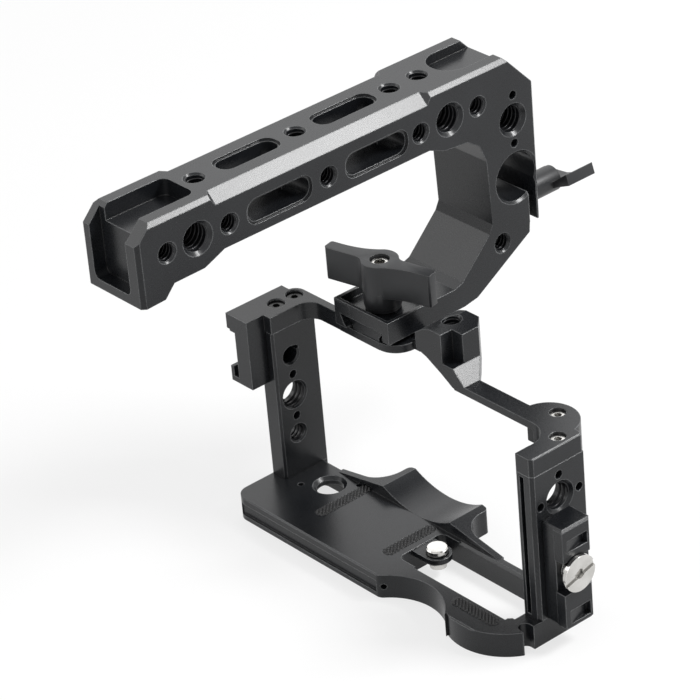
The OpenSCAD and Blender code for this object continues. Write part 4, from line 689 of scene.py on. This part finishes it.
@dataclass
class GripPad:
    """Rubber pad with a diamond knurl, in place of its plain solid.

    Shares are of the knurl's pitch; the wear span scales the studs' heights at random.
    """

    node: str
    pitch: float = 0.92
    knurl: float = 0.42
    steps: int = 10

    USUAL_HALVES: ClassVar[Plan] = (10.0, 2.0)
    STUD_SIDES: ClassVar[int] = 4
    STUD_TOP_SHARE: ClassVar[float] = 0.28
    STUD_FOOT_SHARE: ClassVar[float] = 0.66
    MARGIN_SHARE: ClassVar[float] = 0.4
    WEAR_SEED: ClassVar[int] = 7
    RANDOM_SPAN: ClassVar[Span] = (0.82, 1.0)

    def blank(self, low: Vector, high: Vector) -> Any:
        """Makes the pad's plain body under the knurl.

        Args:
            low: lowest corner of the pad.
            high: highest corner of the pad.

        Returns:
            The mesh, its middle at the origin in plan and its top at height zero.
        """
        half_x, half_y = (high.x - low.x) / 2, (high.y - low.y) / 2
        radius = min(half_x, half_y)
        outline = []
        for corner, (sx, sy) in enumerate(((1, 1), (-1, 1), (-1, -1), (1, -1))):
            for step in range(self.steps + 1):
                angle = (corner + step / self.steps) * math.pi / 2
                outline.append((sx * (half_x - radius) + radius * math.cos(angle),
                                sy * (half_y - radius) + radius * math.sin(angle)))
        under = low.z - high.z + self.knurl * MM
        work = bmesh.new()
        foot, head = walls(work, *([(x, y, z) for x, y in outline] for z in (under, 0.0)))
        work.faces.new(foot[::-1])
        work.faces.new(head)
        bmesh.ops.remove_doubles(work, verts=work.verts, dist=MERGE_DISTANCE)
        bmesh.ops.recalc_face_normals(work, faces=work.faces)
        return plain_mesh(work, self.node + "_blank")

    @classmethod
    def tree(cls, material: Any) -> GrowTree:
        """Builds the tree that sets studs on a pad.

        Args:
            material: the pad's material.

        Returns:
            The tree.
        """
        tree = GrowTree("diamond_knurl", {
            "Half X": cls.USUAL_HALVES[0] * MM, "Half Y": cls.USUAL_HALVES[1] * MM,
            "Pitch": cls.pitch * MM, "Height": cls.knurl * MM, "Place": ORIGIN})
        span = tree.calc("MULTIPLY", tree.calc("ADD", "@Half X", "@Half Y"), 2.0)
        count = tree.calc("ADD", tree.calc("DIVIDE", span, "@Pitch"), 1.0)
        grid = tree.add("GeometryNodeMeshGrid", {}, {
            "Size X": span, "Size Y": span, "Vertices X": count, "Vertices Y": count})
        turned = tree.add("GeometryNodeTransform", {}, {
            "Geometry": grid.outputs[0], "Rotation": (0.0, 0.0, math.pi / 4)})
        position = tree.add("GeometryNodeInputPosition")
        place = tree.add("ShaderNodeSeparateXYZ", {}, {0: position.outputs[0]})
        round_end = tree.calc("MINIMUM", "@Half X", "@Half Y")
        gaps = []
        for number, half in ((0, "@Half X"), (1, "@Half Y")):
            flat = tree.calc("SUBTRACT", half, round_end)
            offset = tree.calc("ABSOLUTE", place.outputs[number])
            gaps.append(tree.calc("MAXIMUM", tree.calc("SUBTRACT", offset, flat), 0.0))
        squares = [tree.calc("MULTIPLY", gap, gap) for gap in gaps]
        away = tree.calc("SQRT", tree.calc("ADD", *squares))
        margin = tree.calc("MULTIPLY", "@Pitch", cls.MARGIN_SHARE)
        limit = tree.calc("SUBTRACT", round_end, margin)
        outside = tree.calc("GREATER_THAN", away, limit)
        kept = tree.add("GeometryNodeDeleteGeometry", {"domain": "POINT"}, {
            "Geometry": turned.outputs[0], "Selection": outside})
        stud = tree.add("GeometryNodeMeshCone", {}, {
            "Vertices": cls.STUD_SIDES,
            "Radius Top": tree.calc("MULTIPLY", "@Pitch", cls.STUD_TOP_SHARE),
            "Radius Bottom": tree.calc("MULTIPLY", "@Pitch", cls.STUD_FOOT_SHARE),
            "Depth": "@Height"})
        worn = tree.add("FunctionNodeRandomValue", {"data_type": "FLOAT"}, {"Seed": cls.WEAR_SEED})
        limits = [s for s in worn.inputs if s.enabled and s.name in ("Min", "Max")]
        for socket, value in zip(limits, cls.RANDOM_SPAN):
            socket.default_value = value
        height = tree.add("ShaderNodeCombineXYZ", {}, {0: 1.0, 1: 1.0, 2: worn.outputs[1]})
        studs = tree.add("GeometryNodeInstanceOnPoints", {}, {
            "Points": kept.outputs[0], "Instance": stud.outputs[0], "Scale": height.outputs[0]})
        joined = tree.add("GeometryNodeJoinGeometry")
        tree.group.links.new(studs.outputs[0], joined.inputs[0])
        tree.group.links.new(tree.source.outputs["Geometry"], joined.inputs[0])
        placed = tree.add("GeometryNodeTransform", {}, {
            "Geometry": joined.outputs[0], "Translation": "@Place"})
        tree.close(placed.outputs[0], material)
        return tree

    def build(self, tree: GrowTree) -> None:
        """Grows the pad and puts it in its solid's place.

        Args:
            tree: the knurl tree.
        """
        low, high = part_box(self.node)
        centre = (low + high) / 2
        mesh = tree.grow(self.blank(low, high), {
            "Half X": (high.x - low.x) / 2, "Half Y": (high.y - low.y) / 2,
            "Pitch": self.pitch * MM, "Height": self.knurl * MM,
            "Place": (centre.x, centre.y, high.z - self.knurl * MM)})
        piece = link_piece(self.node + "_knurled", mesh)
        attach(piece, "cage")
        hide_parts(self.node)
        LOG.info("pad %s: %d faces", piece.name, len(mesh.polygons))


def curve_points(start: Plan, bend: Plan, end: Plan, steps: int) -> list[Plan]:
    """Points on a curve from start to end that bends toward a third point.

    Args:
        start: first point.
        bend: point that the curve leans to.
        end: last point.
        steps: number of pieces.

    Returns:
        The points, without the last one.
    """
    found = []
    for k in range(steps):
        t = k / steps
        found.append(tuple((1 - t) ** 2 * a + 2 * t * (1 - t) * b + t * t * c
                           for a, b, c in zip(start, bend, end)))
    return found


@dataclass
class WingKnob:
    """Clamping knob of the handle: hub with two wings that flow out of it on opposite sides.

    Angles are degrees. The bow runs from a wing's rear side to the hub, the fillet from the
    hub to the other wing's side.
    """

    x: float = -35.85
    y: float = 17.0
    low: float = 59.5
    collar: float = 1.2
    collar_radius: float = 5.2
    radius: float = 5.5
    top: float = 74.65
    wing_low: float = 64.6
    half: float = 18.3
    thickness: float = 4.1
    angle: float = 13.0
    recess_radius: float = 2.9
    recess_depth: float = 1.9
    bore_radius: float = 2.55
    edge: float = 0.35
    leave_angle: float = 112.0
    meet_angle: float = 35.0
    corner: float = 0.8
    rear_corner: float = 0.5
    bow_start: float = 0.8
    bow_lean: float = 0.38
    bow_rise: float = 0.1
    fillet_lean: float = 0.98
    fillet_end: float = 1.35
    bow_steps: int = 10
    hub_steps: int = 12
    fillet_steps: int = 6
    disc_points: int = 64
    collar_sink: float = 0.5
    overrun: float = 1.0

    def on_hub(self, angle: float) -> Plan:
        """Point on the hub's wall at an angle in radians."""
        return (self.radius * math.cos(angle), self.radius * math.sin(angle))

    def half_outline(self) -> list[Plan]:
        """Half of the wings' outline, from the far end round the hub to the near end."""
        side, half = self.thickness / 2, self.half
        leave, meet = math.radians(self.leave_angle), math.radians(self.meet_angle)
        points = [(-half, -side + self.corner), (-half, side - self.rear_corner),
                  (-half + self.rear_corner, side)]
        points += curve_points((-half * self.bow_start, side),
                               (-half * self.bow_lean, side + self.bow_rise),
                               self.on_hub(leave), self.bow_steps)
        points += [self.on_hub(leave + (meet - leave) * k / self.hub_steps)
                   for k in range(self.hub_steps)]
        points += curve_points(self.on_hub(meet), (self.radius * self.fillet_lean, side),
                               (self.radius * self.fillet_end, side), self.fillet_steps)
        return [*points, (half - self.corner, side)]

    def solid(self, outline: Sequence[Plan], low: float, high: float) -> Any:
        """Closed prism over an outline.

        Args:
            outline: points in plan, in the knob's own axes.
            low: height of the underside.
            high: height of the top.

        Returns:
            The mesh in the part's frame, in metres.
        """
        turn = Matrix.Rotation(math.radians(self.angle), 4, "Z")
        place = Matrix.Translation((self.x, self.y, 0)) @ turn
        work = bmesh.new()
        foot, head = walls(work, *([(place @ Vector((px, py, z))) * MM for px, py in outline]
                                   for z in (low, high)))
        work.faces.new(foot)
        work.faces.new(head)
        bmesh.ops.recalc_face_normals(work, faces=work.faces)
        return plain_mesh(work, "prism")

    def disc(self, radius: float, low: float, high: float) -> Any:
        """Closed cylinder on the knob's axis."""
        angles = [k * 2 * math.pi / self.disc_points for k in range(self.disc_points)]
        return self.solid([(radius * math.cos(a), radius * math.sin(a)) for a in angles], low, high)

    def build(self, paint: Paint) -> None:
        """Builds the knob, cuts its bore and puts it in its solid's place.

        Args:
            paint: gives the material.
        """
        half = self.half_outline()
        wings = half + [(-px, -py) for px, py in half]
        piece = link_piece("wing_knob_shaped", self.solid(wings, self.wing_low, self.top))
        hub_low, above = self.low + self.collar, self.top + self.overrun
        steps = [("UNION", self.disc(self.radius, hub_low, self.wing_low + self.overrun)),
                 ("UNION", self.disc(self.collar_radius, self.low, hub_low + self.collar_sink)),
                 ("DIFFERENCE", self.disc(self.bore_radius, self.low - self.overrun, above)),
                 ("DIFFERENCE", self.disc(self.recess_radius, self.top - self.recess_depth, above))]
        helpers = []
        for number, (operation, mesh) in enumerate(steps):
            helper = link_piece(f"helper_{number}", mesh)
            helpers.append(helper)
            cut = piece.modifiers.new(operation.lower(), "BOOLEAN")
            cut.operation = operation
            cut.object = helper
            cut.solver = "EXACT"
        piece.data = softened(piece, self.edge)
        for helper in helpers:
            bpy.data.objects.remove(helper)
        paint.dress(piece, Look.KNOB)
        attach(piece, "knob")
        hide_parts("wing_knob")
        LOG.info("knob: %d faces", len(piece.data.polygons))


def softened(piece: Any, width: float) -> Any:
    """Rounds a piece's edges with a bevel and returns the plain mesh.

    Args:
        piece: mesh object; its own modifiers are worked out first and taken off.
        width: width of the rounding in millimetres.

    Returns:
        The rounded mesh, smooth but for its sharp edges.
    """
    soften = piece.modifiers.new("soften", "BEVEL")
    soften.width = width * MM
    soften.segments = BEVEL_STEPS
    soften.limit_method = "ANGLE"
    soften.angle_limit = BEVEL_ANGLE
    mesh = worked_out(piece)
    piece.modifiers.clear()
    for polygon in mesh.polygons:
        polygon.use_smooth = True
    mesh.set_sharp_from_angle(angle=SHARP_ANGLE)
    return mesh


@dataclass
class RodLever:
    """Lever of the rod clamp: its solid with rounded edges; faces flat to an angle are merged."""

    node: str = "rod_lever"
    edge: float = 0.4
    flat_angle: float = 0.5

    def build(self, frame: dict[str, Any], paint: Paint) -> None:
        """Copies the lever's solid, merges its points and rounds its edges.

        Args:
            frame: the loaded frame.
            paint: gives the material.
        """
        work = bmesh.new()
        work.from_mesh(frame["nodes"][self.node].data)
        bmesh.ops.remove_doubles(work, verts=work.verts, dist=MERGE_DISTANCE)
        bmesh.ops.dissolve_limit(work, angle_limit=math.radians(self.flat_angle),
                                 verts=work.verts, edges=work.edges)
        piece = link_piece("rod_lever_rounded", plain_mesh(work, "rod_lever_merged"))
        piece.data = softened(piece, self.edge)
        paint.dress(piece, Look.KNOB)
        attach(piece, "lever")
        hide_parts(self.node)
        LOG.info("lever: %d faces", len(piece.data.polygons))


@dataclass
class Clamping:
    """Knob's washer, jaw and stud, the lever's stud and washer, and the cable clamp."""

    milled: tuple[str, ...] = ("clamp_jaw", "cable_clamp")
    dark: tuple[str, ...] = ("knob_washer", "lever_washer")
    bright: tuple[str, ...] = ("clamp_stud", "lever_stud", "thumb_screw", "thumb_washer")

    def build(self, frame: dict[str, Any], paint: Paint) -> None:
        """Dresses the nodes that clamp.

        Args:
            frame: the loaded frame.
            paint: gives materials.
        """
        paint.dress_nodes(frame, self.milled, Look.MILLED)
        paint.dress_nodes(frame, self.dark, Look.DARK_STEEL)
        paint.dress_nodes(frame, self.bright, Look.STEEL)


@dataclass
class Softbox:
    """Area lamp that looks at the cage; its distance and size are metres, its power watts."""

    name: str
    direction: Point
    distance: float
    size: float
    power: float

    def build(self, target: Vector) -> None:
        """Makes the lamp.

        Args:
            target: point that it looks at.
        """
        data = bpy.data.lights.new(self.name, "AREA")
        data.shape = "SQUARE"
        data.size = self.size
        data.energy = self.power
        lamp = bpy.data.objects.new(self.name, data)
        away = Vector(self.direction).normalized()
        lamp.location = target + away * self.distance
        lamp.rotation_euler = away.to_track_quat("Z", "Y").to_euler()
        bpy.context.scene.collection.objects.link(lamp)


@dataclass
class Studio:
    """Pale floor, white surroundings, lamps and the photograph's camera; clip is in metres."""

    floor_height: float = -7.62
    floor_half: float = 2500.0
    floor_white: float = 0.72
    floor_dark: Colour = (0.86, 0.86, 0.86)
    floor_light: Colour = (0.88, 0.88, 0.88)
    cloud_scale: float = 3.0
    surround: float = 0.35
    lamps: tuple[Softbox, ...] = (
        Softbox("key_behind_right", (0.456, 0.544, 0.707), 0.9, 0.25, 8.0),
        Softbox("top_behind_left", (-0.60, 0.48, 0.72), 1.1, 0.9, 2.4),
        Softbox("grip_sheen", (-0.68, -0.50, 0.54), 1.1, 0.6, 2.4),
        Softbox("fill_front", (0.35, -0.9, 0.5), 1.3, 0.9, 3.5),
    )
    camera_place: Point = (662.871, -552.230, 572.469)
    camera_target: Point = (-3.715, -22.083, 74.708)
    camera_roll: float = -5.083
    lens: float = 187.714
    sensor: float = 36.0
    clip: Span = (0.01, 20.0)

    @staticmethod
    def light_mask(tree: Any) -> Any:
        """One for rays that see the white background (camera, gloss, glass), zero for the rest.

        Args:
            tree: node tree of a material or the world.

        Returns:
            The output socket with the larger of the three.
        """
        path = tree.nodes.new("ShaderNodeLightPath")
        total = path.outputs["Is Camera Ray"]
        for name in ("Is Glossy Ray", "Is Transmission Ray"):
            node = tree.nodes.new("ShaderNodeMath")
            node.operation = "MAXIMUM"
            tree.links.new(total, node.inputs[0])
            tree.links.new(path.outputs[name], node.inputs[1])
            total = node.outputs[0]
        return total

    def build_world(self) -> None:
        """White to the camera and in gloss, a plain grey light for the rest."""
        world = bpy.data.worlds.new("surround")
        bpy.context.scene.world = world
        world.use_nodes = True
        tree = world.node_tree
        tree.nodes.clear()
        back = tree.nodes.new("ShaderNodeBackground")
        back.inputs["Color"].default_value = WHITE
        range_node = tree.nodes.new("ShaderNodeMapRange")
        range_node.inputs["To Min"].default_value = self.surround
        range_node.inputs["To Max"].default_value = 1.0
        tree.links.new(self.light_mask(tree), range_node.inputs["Value"])
        tree.links.new(range_node.outputs["Result"], back.inputs["Strength"])
        out = tree.nodes.new("ShaderNodeOutputWorld")
        tree.links.new(back.outputs[0], out.inputs["Surface"])

    def floor_material(self) -> Any:
        """Pale floor that turns nearly white to the camera and keeps the shadow.

        Returns:
            The material.
        """
        tree = ShaderTree("pale_floor")
        place = tree.wire(tree.add("ShaderNodeTexCoord"), "Object")
        colour = tree.blend(tree.noise(place, self.cloud_scale), self.floor_dark, self.floor_light)
        dull = tree.add("ShaderNodeBsdfDiffuse", {}, {"Color": colour})
        glow = tree.add("ShaderNodeEmission", {}, {"Color": WHITE, "Strength": 1.0})
        share = Wire(tree, self.light_mask(tree.material.node_tree)) * self.floor_white
        mixed = tree.add("ShaderNodeMixShader", {}, {0: share})
        tree.links.new(dull.outputs[0], mixed.inputs[1])
        tree.links.new(glow.outputs[0], mixed.inputs[2])
        tree.add("ShaderNodeOutputMaterial", {}, {"Surface": tree.wire(mixed)})
        return tree.material

    def build_floor(self) -> None:
        """Makes the floor."""
        half = self.floor_half * MM
        mesh = bpy.data.meshes.new("floor")
        corners = [(-half, -half, 0), (half, -half, 0), (half, half, 0), (-half, half, 0)]
        mesh.from_pydata(corners, [], [(0, 1, 2, 3)])
        mesh.materials.append(self.floor_material())
        floor = link_piece("floor", mesh)
        floor.location.z = self.floor_height * MM

    def build_camera(self) -> None:
        """Puts the camera where the photograph was taken from."""
        data = bpy.data.cameras.new("photo_camera")
        data.lens = self.lens
        data.sensor_width = self.sensor
        data.clip_start, data.clip_end = self.clip
        camera = bpy.data.objects.new("photo_camera", data)
        place = Vector(self.camera_place) * MM
        look = Vector(self.camera_target) * MM - place
        turn = look.to_track_quat("-Z", "Y").to_matrix().to_4x4()
        roll = Matrix.Rotation(math.radians(self.camera_roll), 4, "Z")
        camera.matrix_world = Matrix.Translation(place) @ turn @ roll
        bpy.context.scene.collection.objects.link(camera)
        bpy.context.scene.camera = camera

    def build(self) -> None:
        """Builds the whole studio."""
        bpy.context.scene.view_settings.view_transform = "Standard"
        self.build_world()
        self.build_floor()
        for lamp in self.lamps:
            lamp.build(Vector(self.camera_target) * MM)
        self.build_camera()
        LOG.info("studio ready")


def main() -> None:
    """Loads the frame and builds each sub-assembly in order."""
    logging.basicConfig(level=logging.INFO, format="%(name)s: %(message)s")
    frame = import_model()
    paint = Paint()
    threads = ThreadMaker(paint)
    CageFrame().build(frame, paint, threads)
    Handle().build(frame, paint, threads)
    knurl = GripPad.tree(paint.material(Look.RUBBER))
    for node in ("grip_pad_left", "grip_pad_middle", "grip_pad_front"):
        GripPad(node).build(knurl)
    WingKnob().build(paint)
    RodLever().build(frame, paint)
    Clamping().build(frame, paint)
    Studio().build()


if __name__ == "__main__":
    main()
